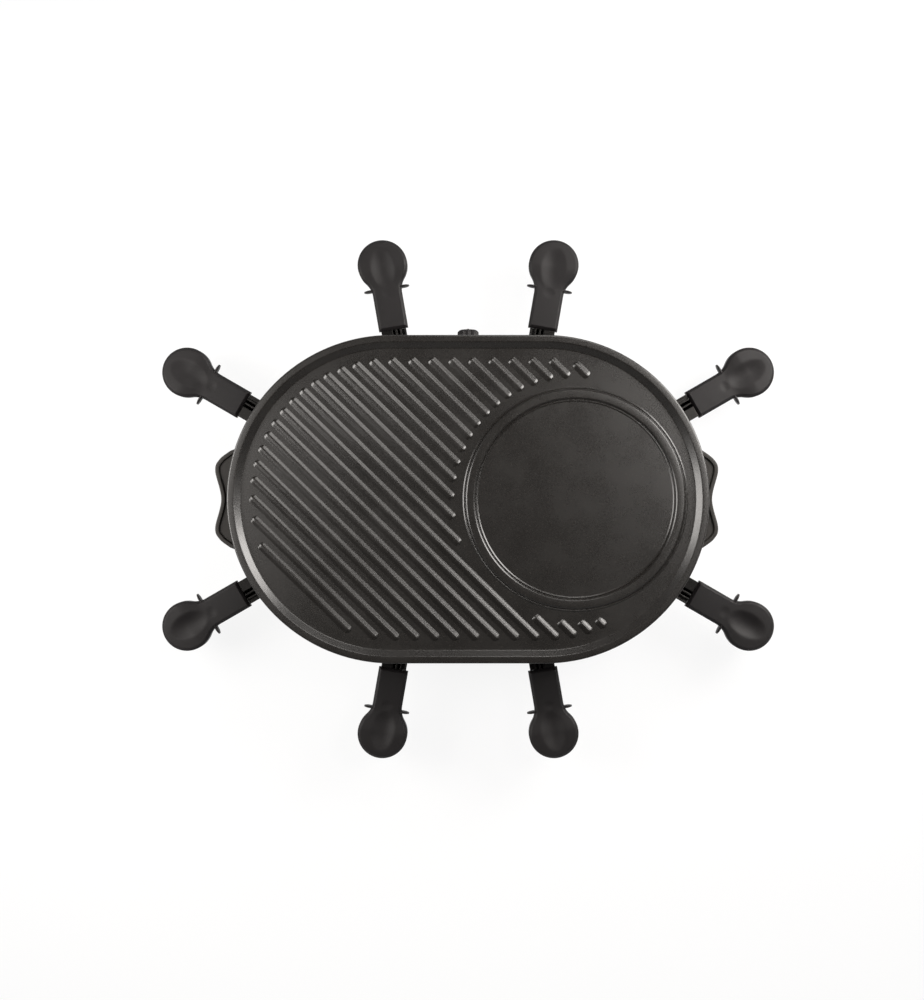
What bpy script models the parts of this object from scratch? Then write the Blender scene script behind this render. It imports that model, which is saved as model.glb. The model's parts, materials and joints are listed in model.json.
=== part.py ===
# Oval table raclette grill for eight pans, in metres with +Z up.
# The origin is on the table under the middle, and the thermostat knob faces +Y.

import math

import bpy
from mathutils import Matrix, Vector

# Fits shared by all pieces
fit_gap = 0.0003
bolt_clearance = 0.0003
cut_overrun = 0.002
full_turn = math.tau
crease_angle = math.radians(32)
arc_steps = 20
round_steps = 20
small_round_steps = 8

# Griddle plate: a stadium, two half circles joined by straight sides
plate_radius = 0.148
plate_half_straight = 0.0695
plate_thickness = 0.0045
plate_slab_drop = 0.0025
plate_slab_clearance = 0.003
rim_flat = 0.0055
rim_slope = 0.0071
rim_height = 0.0045
rim_slope_shares = ((0, 0), (0.2, 0.07), (0.5, 0.5), (0.8, 0.93), (1, 1))
lip_gap = 0.0045
lip_drop = 0.004
lip_round = 0.0010

# Raised ribs on the griddle side
rib_pitch = 0.0126
rib_angle = math.radians(-44.25)
rib_phase = 0.0415
rib_half_width = 0.0035
rib_top_half_width = 0.0017
rib_height = 0.0022
rib_sink = 0.001
rib_margin = 0.0235
rib_ring_gap = 0.0095
rib_line_reach_share = 1.5
rib_end_steps = 3
rib_search_steps = 4000

# Raised ring round the crepe area
crepe_ring_setback = 0.1209
crepe_ring_radius = 0.1002
crepe_ring_width = 0.0114
crepe_ring_height = 0.0018
crepe_ring_draft = 0.0010

# Frame under the plate
frame_inset = 0.008
frame_wall = 0.0025
frame_height = 0.0342
frame_floor = 0.0025
frame_floor_ledge = 0.0015
frame_round = 0.0015
frame_boss_radius = 0.0055
frame_boss_height = 0.0115
frame_bolt_depth = 0.0095

# Steel shield inside the frame, behind the channel that holds the controls
control_channel = 0.0183
shield_wall = 0.0012
shield_top_gap = 0.0003

# Tubular element and the clips that carry it
element_radius = 0.0035
element_shield_gap = 0.020
element_rise = 0.014
element_bend_radius = 0.010
element_end_x = (-0.054, -0.030)
element_end_proud = 0.0038
element_hole_clearance = 0.0006
element_bend_steps = 4
element_bevel_steps = 2
clip_width = 0.008
clip_sheet = 0.0012
clip_wall_height = 0.015
clip_hook_height = 0.006
clip_facets = 4.5

# Base, deck and feet
base_inset = 0.010
base_height = 0.019
base_wall = 0.003
base_round = 0.002
foot_height = 0.008
foot_radius = 0.012
foot_chamfer = 0.001
foot_stem_radius = 0.004
foot_stem_height = 0.009
foot_boss_radius = 0.010
foot_setback = 0.034
foot_bearing = math.radians(57.8)
deck_inset = 0.0025
deck_sheet = 0.0015
deck_rim_width = 0.0025
deck_rim_height = 0.0015
rail_height = 0.0025
rail_width = 0.005
rail_top_width = 0.003
rail_spacing = 0.028
rail_setback = 0.008

# Posts between base and frame
post_height = 0.0466
post_thickness = 0.0137
post_half_width = 0.022
post_waist = 0.0015
post_flare = 0.008
post_arc_steps = 5
bolt_radius = 0.0025
bolt_head_radius = 0.005
bolt_head_height = 0.0035
post_bolt_engagement = 0.008

# Carrying grips at the short ends, seen from above, from the middle outwards
grip_bottom_rise = 0.012
grip_height = 0.013
grip_waist_reach = 0.0149
grip_lobe_reach = 0.0204
grip_lobe_y = 0.0264
grip_end_y = 0.0442
grip_end_reach = 0.0065
grip_root_y = 0.0500
grip_lip = 0.0045
grip_pocket_depth = 0.006
grip_round = 0.0015
grip_curve_steps = 4

# Control parts in the channel between shield and frame wall
control_z_rise = 0.019
thermostat_width = 0.028
channel_gap = 0.002
thermostat_room = 0.0043
thermostat_height = 0.022
thermostat_bush_radius = 0.005
shaft_radius = 0.003
shaft_clearance = 0.0003
shaft_hole_clearance = 0.0012
shaft_seat_depth = 0.003
shaft_grip_length = 0.010
knob_radius = 0.0096
knob_flute_depth = 0.0005
knob_length = 0.0147
knob_wall_gap = 0.0006
knob_chamfer = 0.0018
knob_flutes = 14
knob_pointer_width = 0.0016
knob_pointer_height = 0.0008
lamp_x = 0.027
lamp_radius = 0.004
lamp_room = 0.0083
lamp_flange_radius = 0.0052
lamp_flange = 0.0008
lamp_dome = 0.0010
gland_x = 0.054
gland_radius = 0.005
gland_nut_radius = 0.0078
gland_nut_length = 0.003
gland_nose_length = 0.003
gland_room = 0.0113
gland_bore_radius = 0.0034
gland_nut_sides = 6
block_width = 0.036
block_room = 0.0037
block_height = 0.014
block_hole_radius = 0.002
block_hole_depth = 0.006
wire_radius = 0.0012
wire_bevel_steps = 1
wire_curve_steps = 4
wire_lead = 0.004

# Pans, in their own frame: X runs outwards along the handle from the front of the pan's flange
pan_centre_gap = 0.042
pan_front_width = 0.090
pan_back_width = 0.052
pan_depth = 0.017
pan_corner_radius = 0.012
pan_flange = 0.0034
pan_sheet = 0.0012
pan_draft = 0.003
pan_bottom_round = 0.0015
pan_corner_steps = 3
middle_pan_setback = 0.0120
middle_pan_bearing = math.radians(91.5)
middle_pan_heading = math.radians(80.2)
end_pan_setback = 0.0052
end_pan_bearing = math.radians(32.4)
end_pan_heading = math.radians(30)

# Bracket between pan and handle
bracket_width = 0.0235
bracket_sheet = 0.002
bracket_height = 0.0070
bracket_block_width = 0.0105
bracket_fin = 0.0016
bracket_fin_count = 3
bracket_wall_gap = 0.0004
tongue_width = 0.016
tongue_length = 0.014

# Handle: neck, finger guard and round end
handle_start = 0.024
handle_neck_half_width = 0.0138
handle_neck_half_height = 0.0065
handle_ball_radius = 0.0235
handle_ball_half_height = 0.0095
handle_ball_x = 0.085
handle_fillet = 0.020
handle_end_round = 0.0012
handle_drop = 0.0015
handle_section_points = 10
handle_section_power = 0.55
handle_neck_share = (0, 0.5, 1)
handle_bulb_steps = 7
guard_from_ball = 0.0222
guard_thickness = 0.002
guard_half_length = 0.0214
guard_half_height = 0.0075
screw_radius = 0.0017
screw_head_radius = 0.0033
screw_head_height = 0.0016
screw_length = 0.008
screw_x_in_tongue = 0.007
screw_clearance = 0.0003

# Heights and radii that follow from the sizes above
base_bottom = foot_height
base_top = base_bottom + base_height
deck_bottom = base_top + fit_gap
deck_top = deck_bottom + deck_sheet
post_bottom = deck_top + fit_gap
post_top = post_bottom + post_height
frame_bottom = post_top + fit_gap
frame_top = frame_bottom + frame_height
frame_floor_top = frame_bottom + frame_floor
plate_ledge = frame_top + fit_gap
plate_slab_bottom = plate_ledge - plate_slab_drop
plate_floor = plate_slab_bottom + plate_thickness
rim_top = plate_floor + rim_height
frame_radius = plate_radius - frame_inset
frame_inner_radius = frame_radius - frame_wall
shield_radius = frame_inner_radius - control_channel
shield_inner_radius = shield_radius - shield_wall
frame_floor_radius = shield_inner_radius - frame_floor_ledge
base_radius = plate_radius - base_inset
deck_radius = base_radius - deck_inset
post_outer_radius = deck_radius - deck_rim_width - fit_gap
post_inner_radius = post_outer_radius - post_thickness
bolt_line_radius = (post_outer_radius + post_inner_radius) / 2
foot_x = plate_half_straight + (base_radius - foot_setback) * math.cos(foot_bearing)
foot_y = (base_radius - foot_setback) * math.sin(foot_bearing)
crepe_ring_x = plate_half_straight + plate_radius - crepe_ring_setback
element_loop_radius = shield_inner_radius - element_shield_gap
element_end_reach = shield_radius + element_end_proud
element_z = frame_bottom + element_rise
control_z = frame_bottom + control_z_rise
thermostat_back = shield_radius + channel_gap
thermostat_front = frame_inner_radius - thermostat_room
block_back = element_end_reach + fit_gap
block_front = frame_inner_radius - block_room
gland_inner_length = control_channel - gland_room
lamp_body_length = control_channel - lamp_room
middle_pan_radius = plate_radius - middle_pan_setback
middle_pan_x = plate_half_straight + middle_pan_radius * math.cos(middle_pan_bearing)
middle_pan_y = middle_pan_radius * math.sin(middle_pan_bearing)
end_pan_radius = plate_radius - end_pan_setback
end_pan_x = plate_half_straight + end_pan_radius * math.cos(end_pan_bearing)
end_pan_y = end_pan_radius * math.sin(end_pan_bearing)
pan_length = middle_pan_y / math.sin(middle_pan_heading) - pan_centre_gap
pan_bottom = deck_top + rail_height + fit_gap
pan_top = pan_bottom + pan_depth
bracket_top = pan_top - pan_sheet - fit_gap
bracket_bottom = bracket_top - bracket_sheet
handle_z = bracket_bottom + handle_drop
handle_tip = handle_ball_x + handle_ball_radius
guard_x = handle_ball_x - guard_from_ball
screw_x = handle_start + screw_x_in_tongue


def clear_scene():
    for old in list(bpy.data.objects):
        bpy.data.objects.remove(old, do_unlink=True)


def make_material(name, colour, roughness, metallic):
    finish = bpy.data.materials.new(name)
    finish.use_nodes = True
    shader = finish.node_tree.nodes["Principled BSDF"]
    shader.inputs["Base Color"].default_value = (*colour, 1)
    shader.inputs["Roughness"].default_value = roughness
    shader.inputs["Metallic"].default_value = metallic
    finish.diffuse_color = (*colour, 1)
    return finish


def put_in_scene(name, mesh, finish=None):
    piece = bpy.data.objects.new(name, mesh)
    bpy.context.scene.collection.objects.link(piece)
    if finish:
        mesh.materials.append(finish)
    else:
        piece.hide_render = True
        piece.display_type = "WIRE"
    return piece


def mesh_from(name, points, faces):
    mesh = bpy.data.meshes.new(name)
    mesh.from_pydata([tuple(point) for point in points], [], faces)
    mesh.validate()
    mesh.shade_smooth()
    mesh.set_sharp_from_angle(angle=crease_angle)
    return mesh


def loft(name, loops, ring=False):
    """A closed skin over loops of equal counts. A ring joins the last loop to the first."""
    count = len(loops[0])
    points = [point for loop in loops for point in loop]
    faces = []
    pairs = len(loops) if ring else len(loops) - 1
    for row in range(pairs):
        here = row * count
        there = (row + 1) % len(loops) * count
        for i in range(count):
            j = (i + 1) % count
            faces.append((here + i, here + j, there + j, there + i))
    if not ring:
        last = (len(loops) - 1) * count
        faces.append(tuple(reversed(range(count))))
        faces.append(tuple(range(last, last + count)))
    mesh = mesh_from(name, points, faces)
    corners = [Vector(point) for point in points]
    volume = 0
    for face in faces:
        for i in range(1, len(face) - 1):
            a, b, c = corners[face[0]], corners[face[i]], corners[face[i + 1]]
            volume += a.dot(b.cross(c))
    if volume < 0:
        mesh.flip_normals()
    return mesh


def arc(centre, radius, start, end, steps):
    return [
        (
            centre[0] + radius * math.cos(start + (end - start) * i / steps),
            centre[1] + radius * math.sin(start + (end - start) * i / steps),
        )
        for i in range(steps + 1)
    ]


def stadium(radius):
    """Outline at this distance from the plate's middle line, counter-clockwise."""
    quarter = full_turn / 4
    right = arc((plate_half_straight, 0), radius, -quarter, quarter, arc_steps)
    left = arc((-plate_half_straight, 0), radius, quarter, quarter * 3, arc_steps)
    return right + left


def circle(radius, steps=round_steps):
    return arc((0, 0), radius, 0, full_turn, steps)[:-1]


def at_height(outline, z):
    return [Vector((x, y, z)) for x, y in outline]


def stadium_shape(name, profile, ring=False):
    return loft(name, [at_height(stadium(radius), z) for radius, z in profile], ring)


def turned(name, profile, steps=round_steps, place=None):
    """Round solid from (radius, height) pairs, closed by flat ends, turned by place."""
    mesh = loft(name, [at_height(circle(radius, steps), z) for radius, z in profile])
    if place:
        mesh.transform(place)
    return mesh


def prism(name, outline, low, high):
    return loft(name, [at_height(outline, low), at_height(outline, high)])


def box_outline(low_x, high_x, low_y, high_y):
    return [(low_x, low_y), (high_x, low_y), (high_x, high_y), (low_x, high_y)]


def boolean(piece, tool, operation):
    change = piece.modifiers.new(tool.name, "BOOLEAN")
    change.operation = operation
    change.object = tool
    return piece


def cut(piece, mesh):
    return boolean(piece, put_in_scene(mesh.name, mesh), "DIFFERENCE")


def fuse(piece, mesh):
    return boolean(piece, put_in_scene(mesh.name, mesh), "UNION")


def settled(piece):
    """The piece's mesh with its cuts made, so that its copies can share it."""
    bpy.context.view_layer.update()
    graph = bpy.context.evaluated_depsgraph_get()
    mesh = bpy.data.meshes.new_from_object(piece.evaluated_get(graph))
    mesh.name = piece.name
    bpy.data.objects.remove(piece, do_unlink=True)
    return mesh


def facing_y(x, y, z):
    """Stands a turned shape on its side, so that its height runs along +Y from this point."""
    return Matrix.Translation((x, y, z)) @ Matrix.Rotation(-full_turn / 4, 4, "X")


def rib_segments():
    """Ends of each rib's middle line, where the line crosses the griddle but not the crepe ring."""
    along = Vector((math.cos(rib_angle), math.sin(rib_angle)))
    across = Vector((-along.y, along.x))
    edge = plate_radius - rib_margin - rib_half_width
    clear = crepe_ring_radius + rib_ring_gap + rib_half_width
    reach = plate_radius * rib_line_reach_share + plate_half_straight
    step = 2 * reach / rib_search_steps
    lines = math.ceil((plate_radius + plate_half_straight) / rib_pitch)
    for line in range(-lines, lines + 1):
        base = across * (rib_phase + line * rib_pitch)
        run = []
        for i in range(rib_search_steps + 1):
            point = base + along * (i * step - reach)
            beyond = max(abs(point.x) - plate_half_straight, 0)
            inside = math.hypot(beyond, point.y) <= edge
            from_ring = math.hypot(point.x - crepe_ring_x, point.y)
            if inside and from_ring >= clear:
                run.append(point)
            elif run:
                yield run[0], run[-1]
                run = []


def rib_outline(start, end, half_width):
    angle = math.atan2(end.y - start.y, end.x - start.x)
    quarter = full_turn / 4
    head = arc(end, half_width, angle - quarter, angle + quarter, rib_end_steps)
    tail = arc(start, half_width, angle + quarter, angle + quarter * 3, rib_end_steps)
    return head + tail


def joined_mesh(name, meshes):
    """One mesh of several separate shapes, used as a single tool."""
    points = []
    faces = []
    for mesh in meshes:
        first = len(points)
        points.extend(vertex.co.copy() for vertex in mesh.vertices)
        faces.extend(tuple(first + i for i in face.vertices) for face in mesh.polygons)
    return mesh_from(name, points, faces)


def make_grill_plate(finish):
    slope_start = plate_radius - rim_flat - rim_slope
    slab_radius = frame_inner_radius - plate_slab_clearance
    lip_inner = frame_radius + lip_gap
    lip_bottom = plate_ledge - lip_drop
    profile = [
        (slope_start + rim_slope * out, plate_floor + rim_height * up)
        for out, up in rim_slope_shares
    ]
    profile += [
        (plate_radius - lip_round, rim_top),
        (plate_radius, rim_top - lip_round),
        (plate_radius, lip_bottom),
        (lip_inner, lip_bottom),
        (lip_inner, plate_ledge),
        (slab_radius + plate_slab_drop, plate_ledge),
        (slab_radius, plate_slab_bottom),
    ]
    plate = put_in_scene("grill_plate", stadium_shape("grill_plate", profile), finish)
    ribs = []
    for start, end in rib_segments():
        foot = at_height(rib_outline(start, end, rib_half_width), plate_floor - rib_sink)
        crown = at_height(rib_outline(start, end, rib_top_half_width), plate_floor + rib_height)
        ribs.append(loft("rib", [foot, crown]))
    fuse(plate, joined_mesh("ribs", ribs))
    ring_inner = crepe_ring_radius - crepe_ring_width
    ring_profile = [
        (crepe_ring_radius + crepe_ring_draft, plate_floor - rib_sink),
        (crepe_ring_radius, plate_floor + crepe_ring_height),
        (ring_inner, plate_floor + crepe_ring_height),
        (ring_inner - crepe_ring_draft, plate_floor - rib_sink),
    ]
    loops = [at_height(circle(radius, arc_steps * 2), z) for radius, z in ring_profile]
    ring = loft("crepe_ring", loops, ring=True)
    ring.transform(Matrix.Translation((crepe_ring_x, 0, 0)))
    return fuse(plate, ring)


def make_upper_frame(finish):
    profile = [
        (frame_radius - frame_round, frame_bottom),
        (frame_radius, frame_bottom + frame_round),
        (frame_radius, frame_top),
        (frame_inner_radius, frame_top),
        (frame_inner_radius, frame_floor_top),
        (frame_floor_radius, frame_floor_top),
        (frame_floor_radius, frame_bottom),
    ]
    frame = put_in_scene("upper_frame", stadium_shape("upper_frame", profile, ring=True), finish)
    wall_holes = (
        ("shaft_hole", 0, shaft_radius + shaft_hole_clearance),
        ("lamp_hole", lamp_x, lamp_radius + fit_gap),
        ("gland_hole", gland_x, gland_radius + fit_gap),
    )
    for name, x, radius in wall_holes:
        length = frame_wall + 2 * cut_overrun
        start = frame_inner_radius - cut_overrun
        profile = [(radius, 0), (radius, length)]
        cut(frame, turned(name, profile, place=facing_y(x, start, control_z)))
    for side in (-1, 1):
        x = side * (plate_half_straight + bolt_line_radius)
        boss_top = frame_floor_top + frame_boss_height
        boss_low = frame_floor_top - frame_floor / 2
        shape = [(frame_boss_radius, boss_low), (frame_boss_radius, boss_top)]
        place = Matrix.Translation((x, 0, 0))
        fuse(frame, turned("bolt_boss", shape, place=place))
        radius = bolt_radius + bolt_clearance
        bore = [(radius, frame_bottom - cut_overrun), (radius, frame_floor_top + frame_bolt_depth)]
        cut(frame, turned("bolt_bore", bore, place=place))
    return frame


def make_heat_shield(finish):
    low = frame_floor_top + fit_gap
    high = plate_slab_bottom - shield_top_gap
    profile = [
        (shield_radius, low),
        (shield_radius, high),
        (shield_inner_radius, high),
        (shield_inner_radius, low),
    ]
    shield = put_in_scene("heat_shield", stadium_shape("heat_shield", profile, ring=True), finish)
    for x in element_end_x:
        radius = element_radius + element_hole_clearance
        hole = [(radius, 0), (radius, shield_wall + 2 * cut_overrun)]
        place = facing_y(x, shield_inner_radius - cut_overrun, element_z)
        cut(shield, turned("element_hole", hole, small_round_steps, place))
    return shield


def tube(name, route, radius, bevel_steps, finish):
    shape = bpy.data.curves.new(name, "CURVE")
    shape.dimensions = "3D"
    shape.bevel_depth = radius
    shape.bevel_resolution = bevel_steps
    shape.use_fill_caps = True
    spline = shape.splines.new("POLY")
    spline.points.add(len(route) - 1)
    for point, place in zip(spline.points, route):
        point.co = (*place, 1)
    shape.materials.append(finish)
    piece = bpy.data.objects.new(name, shape)
    bpy.context.scene.collection.objects.link(piece)
    return piece


def make_heating_element(finish):
    quarter = full_turn / 4
    loop = element_loop_radius
    bend = element_bend_radius
    first_x, last_x = element_end_x
    bend_y = loop + bend
    route = [(first_x, element_end_reach)]
    route += arc((first_x - bend, bend_y), bend, 0, -quarter, element_bend_steps)
    route += arc((-plate_half_straight, 0), loop, quarter, quarter * 3, arc_steps)
    route += arc((plate_half_straight, 0), loop, -quarter, quarter, arc_steps)
    route += arc((last_x + bend, bend_y), bend, -quarter, -quarter * 2, element_bend_steps)
    route += [(last_x, element_end_reach)]
    spaced = [route[0]]
    for point in route[1:]:
        if math.dist(point, spaced[-1]) > fit_gap:
            spaced.append(point)
    path = [(x, y, element_z) for x, y in spaced]
    return tube("heating_element", path, element_radius, element_bevel_steps, finish)


def make_element_clips(finish):
    facet = full_turn / 2 / arc_steps
    clip_angle = facet * clip_facets
    hook_outer = element_loop_radius * math.cos(facet / 2) - element_radius - fit_gap
    hook_inner = hook_outer - clip_sheet
    wall_outer = shield_inner_radius * math.cos(facet / 2) - fit_gap
    wall_inner = wall_outer - clip_sheet
    strap_top = element_z - element_radius - fit_gap
    strap_bottom = strap_top - clip_sheet
    outline = [
        (hook_inner, strap_bottom),
        (wall_outer, strap_bottom),
        (wall_outer, strap_bottom + clip_wall_height),
        (wall_inner, strap_bottom + clip_wall_height),
        (wall_inner, strap_top),
        (hook_outer, strap_top),
        (hook_outer, strap_bottom + clip_hook_height),
        (hook_inner, strap_bottom + clip_hook_height),
    ]
    half = clip_width / 2
    turns = (clip_angle, full_turn / 2 - clip_angle, full_turn / 2 + clip_angle, -clip_angle)
    for number, turn in enumerate(turns, 1):
        loops = [[Vector((r, side * half, z)) for r, z in outline] for side in (-1, 1)]
        mesh = loft("element_clip", loops)
        side = math.copysign(plate_half_straight, math.cos(turn))
        mesh.transform(Matrix.Translation((side, 0, 0)) @ Matrix.Rotation(turn, 4, "Z"))
        put_in_scene(f"element_clip_{number}", mesh, finish)


def make_base_shell(finish):
    inner = base_radius - base_wall
    profile = [
        (base_radius - base_round, base_top),
        (base_radius, base_top - base_round),
        (base_radius, base_bottom),
        (inner, base_bottom),
        (inner, base_top - base_wall),
    ]
    base = put_in_scene("base_shell", stadium_shape("base_shell", profile), finish)
    for side_x in (-1, 1):
        for side_y in (-1, 1):
            place = Matrix.Translation((side_x * foot_x, side_y * foot_y, 0))
            boss_top = base_top - base_wall / 2
            boss = [(foot_boss_radius, base_bottom), (foot_boss_radius, boss_top)]
            fuse(base, turned("foot_boss", boss, place=place))
            radius = foot_stem_radius + fit_gap
            bore_top = foot_height + foot_stem_height + fit_gap
            bore = [(radius, base_bottom - cut_overrun), (radius, bore_top)]
            cut(base, turned("foot_bore", bore, place=place))
        bolt_bore(base, side_x, base_top - base_wall, base_top)
    return base


def bolt_bore(piece, side, low, high):
    radius = bolt_radius + bolt_clearance
    bore = [(radius, low - cut_overrun), (radius, high + cut_overrun)]
    x = side * (plate_half_straight + bolt_line_radius)
    place = Matrix.Translation((x, 0, 0))
    return cut(piece, turned("bolt_bore", bore, small_round_steps, place))


def make_rubber_feet(finish):
    pad_top = foot_height - fit_gap
    profile = [
        (foot_radius - foot_chamfer, 0),
        (foot_radius, foot_chamfer),
        (foot_radius, pad_top),
        (foot_stem_radius, pad_top),
        (foot_stem_radius, foot_height + foot_stem_height),
    ]
    for number, (x, y) in enumerate(((1, 1), (-1, 1), (-1, -1), (1, -1)), 1):
        mesh = turned("rubber_foot", profile)
        mesh.transform(Matrix.Translation((x * foot_x, y * foot_y, 0)))
        put_in_scene(f"rubber_foot_{number}", mesh, finish)


def pan_places():
    """Name, place and mirror side of each pan, counter-clockwise from the knob side."""
    middle = (middle_pan_x, middle_pan_y, middle_pan_heading)
    end = (end_pan_x, end_pan_y, end_pan_heading)
    quadrants = ((1, 1), (-1, 1), (-1, -1), (1, -1))
    number = 0
    for flip_x, flip_y in quadrants:
        order = (end, middle) if flip_x * flip_y > 0 else (middle, end)
        for x, y, heading in order:
            number += 1
            turn = math.atan2(flip_y * math.sin(heading), flip_x * math.cos(heading))
            place = Matrix.Translation((flip_x * x, flip_y * y, 0))
            yield number, place @ Matrix.Rotation(turn, 4, "Z"), flip_x * flip_y


def make_pan_deck(finish):
    rim_inner = deck_radius - deck_rim_width
    profile = [
        (rim_inner, deck_top),
        (rim_inner + deck_rim_height, deck_top + deck_rim_height),
        (deck_radius, deck_top + deck_rim_height),
        (deck_radius, deck_bottom),
    ]
    deck = put_in_scene("pan_deck", stadium_shape("pan_deck", profile), finish)
    rails = []
    for _, place, _ in pan_places():
        for side in (-1, 1):
            middle = side * rail_spacing / 2
            loops = []
            levels = (
                (rail_width / 2, 0, deck_top - deck_sheet / 2),
                (rail_top_width / 2, rail_height, deck_top + rail_height),
            )
            for half, pull, z in levels:
                start = -rail_setback - pull
                end = rail_setback + pull - pan_length
                loops.append(at_height(box_outline(end, start, middle - half, middle + half), z))
            rail = loft("rail", loops)
            rail.transform(place)
            rails.append(rail)
    fuse(deck, joined_mesh("rails", rails))
    for side in (-1, 1):
        bolt_bore(deck, side, deck_bottom, deck_top)
    return deck


def make_end_posts(finish):
    names = {-1: "end_post_left", 1: "end_post_right"}
    levels = (
        (post_bottom, 0),
        (post_bottom + post_flare, post_waist),
        (post_top - post_flare, post_waist),
        (post_top, 0),
    )
    for side, name in names.items():
        loops = []
        for z, waist in levels:
            turn = math.asin((post_half_width - waist) / bolt_line_radius)
            outer = arc((plate_half_straight, 0), post_outer_radius - waist, -turn, turn, post_arc_steps)
            inner = arc((plate_half_straight, 0), post_inner_radius + waist, turn, -turn, post_arc_steps)
            loops.append([Vector((side * x, y, z)) for x, y in outer + inner])
        post = put_in_scene(name, loft(name, loops), finish)
        bolt_bore(post, side, post_bottom, post_top)


def make_post_bolts(finish):
    head_top = base_top - base_wall - fit_gap
    head_bottom = head_top - bolt_head_height
    tip = frame_floor_top + post_bolt_engagement
    profile = [
        (bolt_head_radius, head_bottom),
        (bolt_head_radius, head_top),
        (bolt_radius, head_top),
        (bolt_radius, tip),
    ]
    for side, name in ((-1, "post_bolt_left"), (1, "post_bolt_right")):
        mesh = turned(name, profile, small_round_steps)
        mesh.transform(Matrix.Translation((side * (plate_half_straight + bolt_line_radius), 0, 0)))
        put_in_scene(name, mesh, finish)


def smooth_curve(points, steps):
    """Points along a curve that passes through each given point."""
    ends = [points[0]] + list(points) + [points[-1]]
    curve = []
    for before, start, end, after in zip(ends, ends[1:], ends[2:], ends[3:]):
        for i in range(steps):
            t = i / steps
            curve.append(
                0.5
                * (
                    2 * start
                    + (end - before) * t
                    + (2 * before - 5 * start + 4 * end - after) * t**2
                    + (3 * start - before - 3 * end + after) * t**3
                )
            )
    return curve + [points[-1]]


def grip_outline(inset):
    """Outline of a grip with its root on the frame's wall, drawn in by inset."""
    wall = plate_half_straight + frame_radius + fit_gap
    half = [
        Vector((wall + grip_waist_reach, 0)),
        Vector((wall + grip_lobe_reach, grip_lobe_y)),
        Vector((wall + grip_end_reach, grip_end_y)),
    ]
    half = smooth_curve([Vector((half[1].x, -half[1].y))] + half, grip_curve_steps)
    half = half[grip_curve_steps:]
    upper = [point for point in half if point.y > 0]
    lower = [Vector((point.x, -point.y)) for point in reversed(upper)]
    front = lower + [half[0]] + upper
    drawn = []
    for i, point in enumerate(front):
        before = front[max(i - 1, 0)]
        after = front[min(i + 1, len(front) - 1)]
        run = (after - before).normalized()
        drawn.append(point - Vector((run.y, -run.x)) * inset)
    root = frame_radius + fit_gap + (inset if inset > grip_round else 0)
    root_y = grip_root_y - inset
    turn = math.asin(root_y / root)
    root /= math.cos(turn / post_arc_steps)
    back = arc((plate_half_straight, 0), root, turn, -turn, post_arc_steps)
    return [tuple(point) for point in drawn] + back


def make_side_grips(finish):
    low = frame_bottom + grip_bottom_rise
    high = low + grip_height
    levels = (
        (low, grip_round),
        (low + grip_round, 0),
        (high - grip_round, 0),
        (high, grip_round),
    )
    pocket_low = high - grip_pocket_depth
    for side, name in ((-1, "side_grip_left"), (1, "side_grip_right")):
        loops = [[Vector((side * x, y, z)) for x, y in grip_outline(inset)] for z, inset in levels]
        grip = put_in_scene(name, loft(name, loops), finish)
        pocket = [(side * x, y) for x, y in grip_outline(grip_lip)]
        cut(grip, prism(f"{name}_pocket", pocket, pocket_low, high + cut_overrun))


def make_thermostat(finish):
    half = thermostat_width / 2
    outline = box_outline(-half, half, thermostat_back, thermostat_front)
    low = control_z - thermostat_height / 2
    mesh = prism("thermostat_body", outline, low, low + thermostat_height)
    body = put_in_scene("thermostat_body", mesh, finish)
    bush_start = thermostat_front - shaft_seat_depth
    bush_length = frame_inner_radius - fit_gap - bush_start
    bush = [(thermostat_bush_radius, 0), (thermostat_bush_radius, bush_length)]
    fuse(body, turned("thermostat_bush", bush, place=facing_y(0, bush_start, control_z)))
    radius = shaft_radius + shaft_clearance
    bore = [(radius, 0), (radius, bush_length + cut_overrun)]
    return cut(body, turned("shaft_bore", bore, place=facing_y(0, bush_start, control_z)))


def make_shaft_and_knob(steel, plastic):
    shaft_start = thermostat_front - shaft_seat_depth + fit_gap
    knob_start = frame_radius + knob_wall_gap
    shaft_length = knob_start + shaft_grip_length - shaft_start
    shaft = [(shaft_radius, 0), (shaft_radius, shaft_length)]
    mesh = turned("thermostat_shaft", shaft)
    piece = put_in_scene("thermostat_shaft", mesh, steel)
    piece.matrix_world = facing_y(0, shaft_start, control_z)
    points = []
    for i in range(knob_flutes * 2):
        radius = knob_radius - knob_flute_depth * (i % 2)
        angle = full_turn * i / (knob_flutes * 2)
        points.append((radius * math.cos(angle), radius * math.sin(angle)))
    end_share = (knob_radius - knob_chamfer) / knob_radius
    end = [(x * end_share, y * end_share) for x, y in points]
    loops = [
        at_height(points, 0),
        at_height(points, knob_length - knob_chamfer),
        at_height(end, knob_length),
    ]
    knob = put_in_scene("thermostat_knob", loft("thermostat_knob", loops), plastic)
    knob.matrix_world = facing_y(0, knob_start, control_z)
    half = knob_pointer_width / 2
    pointer = box_outline(-half, half, -knob_radius + knob_chamfer, 0)
    pointer_low = knob_length - knob_pointer_height
    pointer_high = knob_length + knob_pointer_height
    bar = prism("knob_pointer", pointer, pointer_low, pointer_high)
    bar.transform(knob.matrix_world)
    fuse(knob, bar)
    radius = shaft_radius + fit_gap
    bore = [(radius, -cut_overrun), (radius, shaft_grip_length + fit_gap)]
    return cut(knob, turned("knob_bore", bore, place=knob.matrix_world.copy()))


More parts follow.
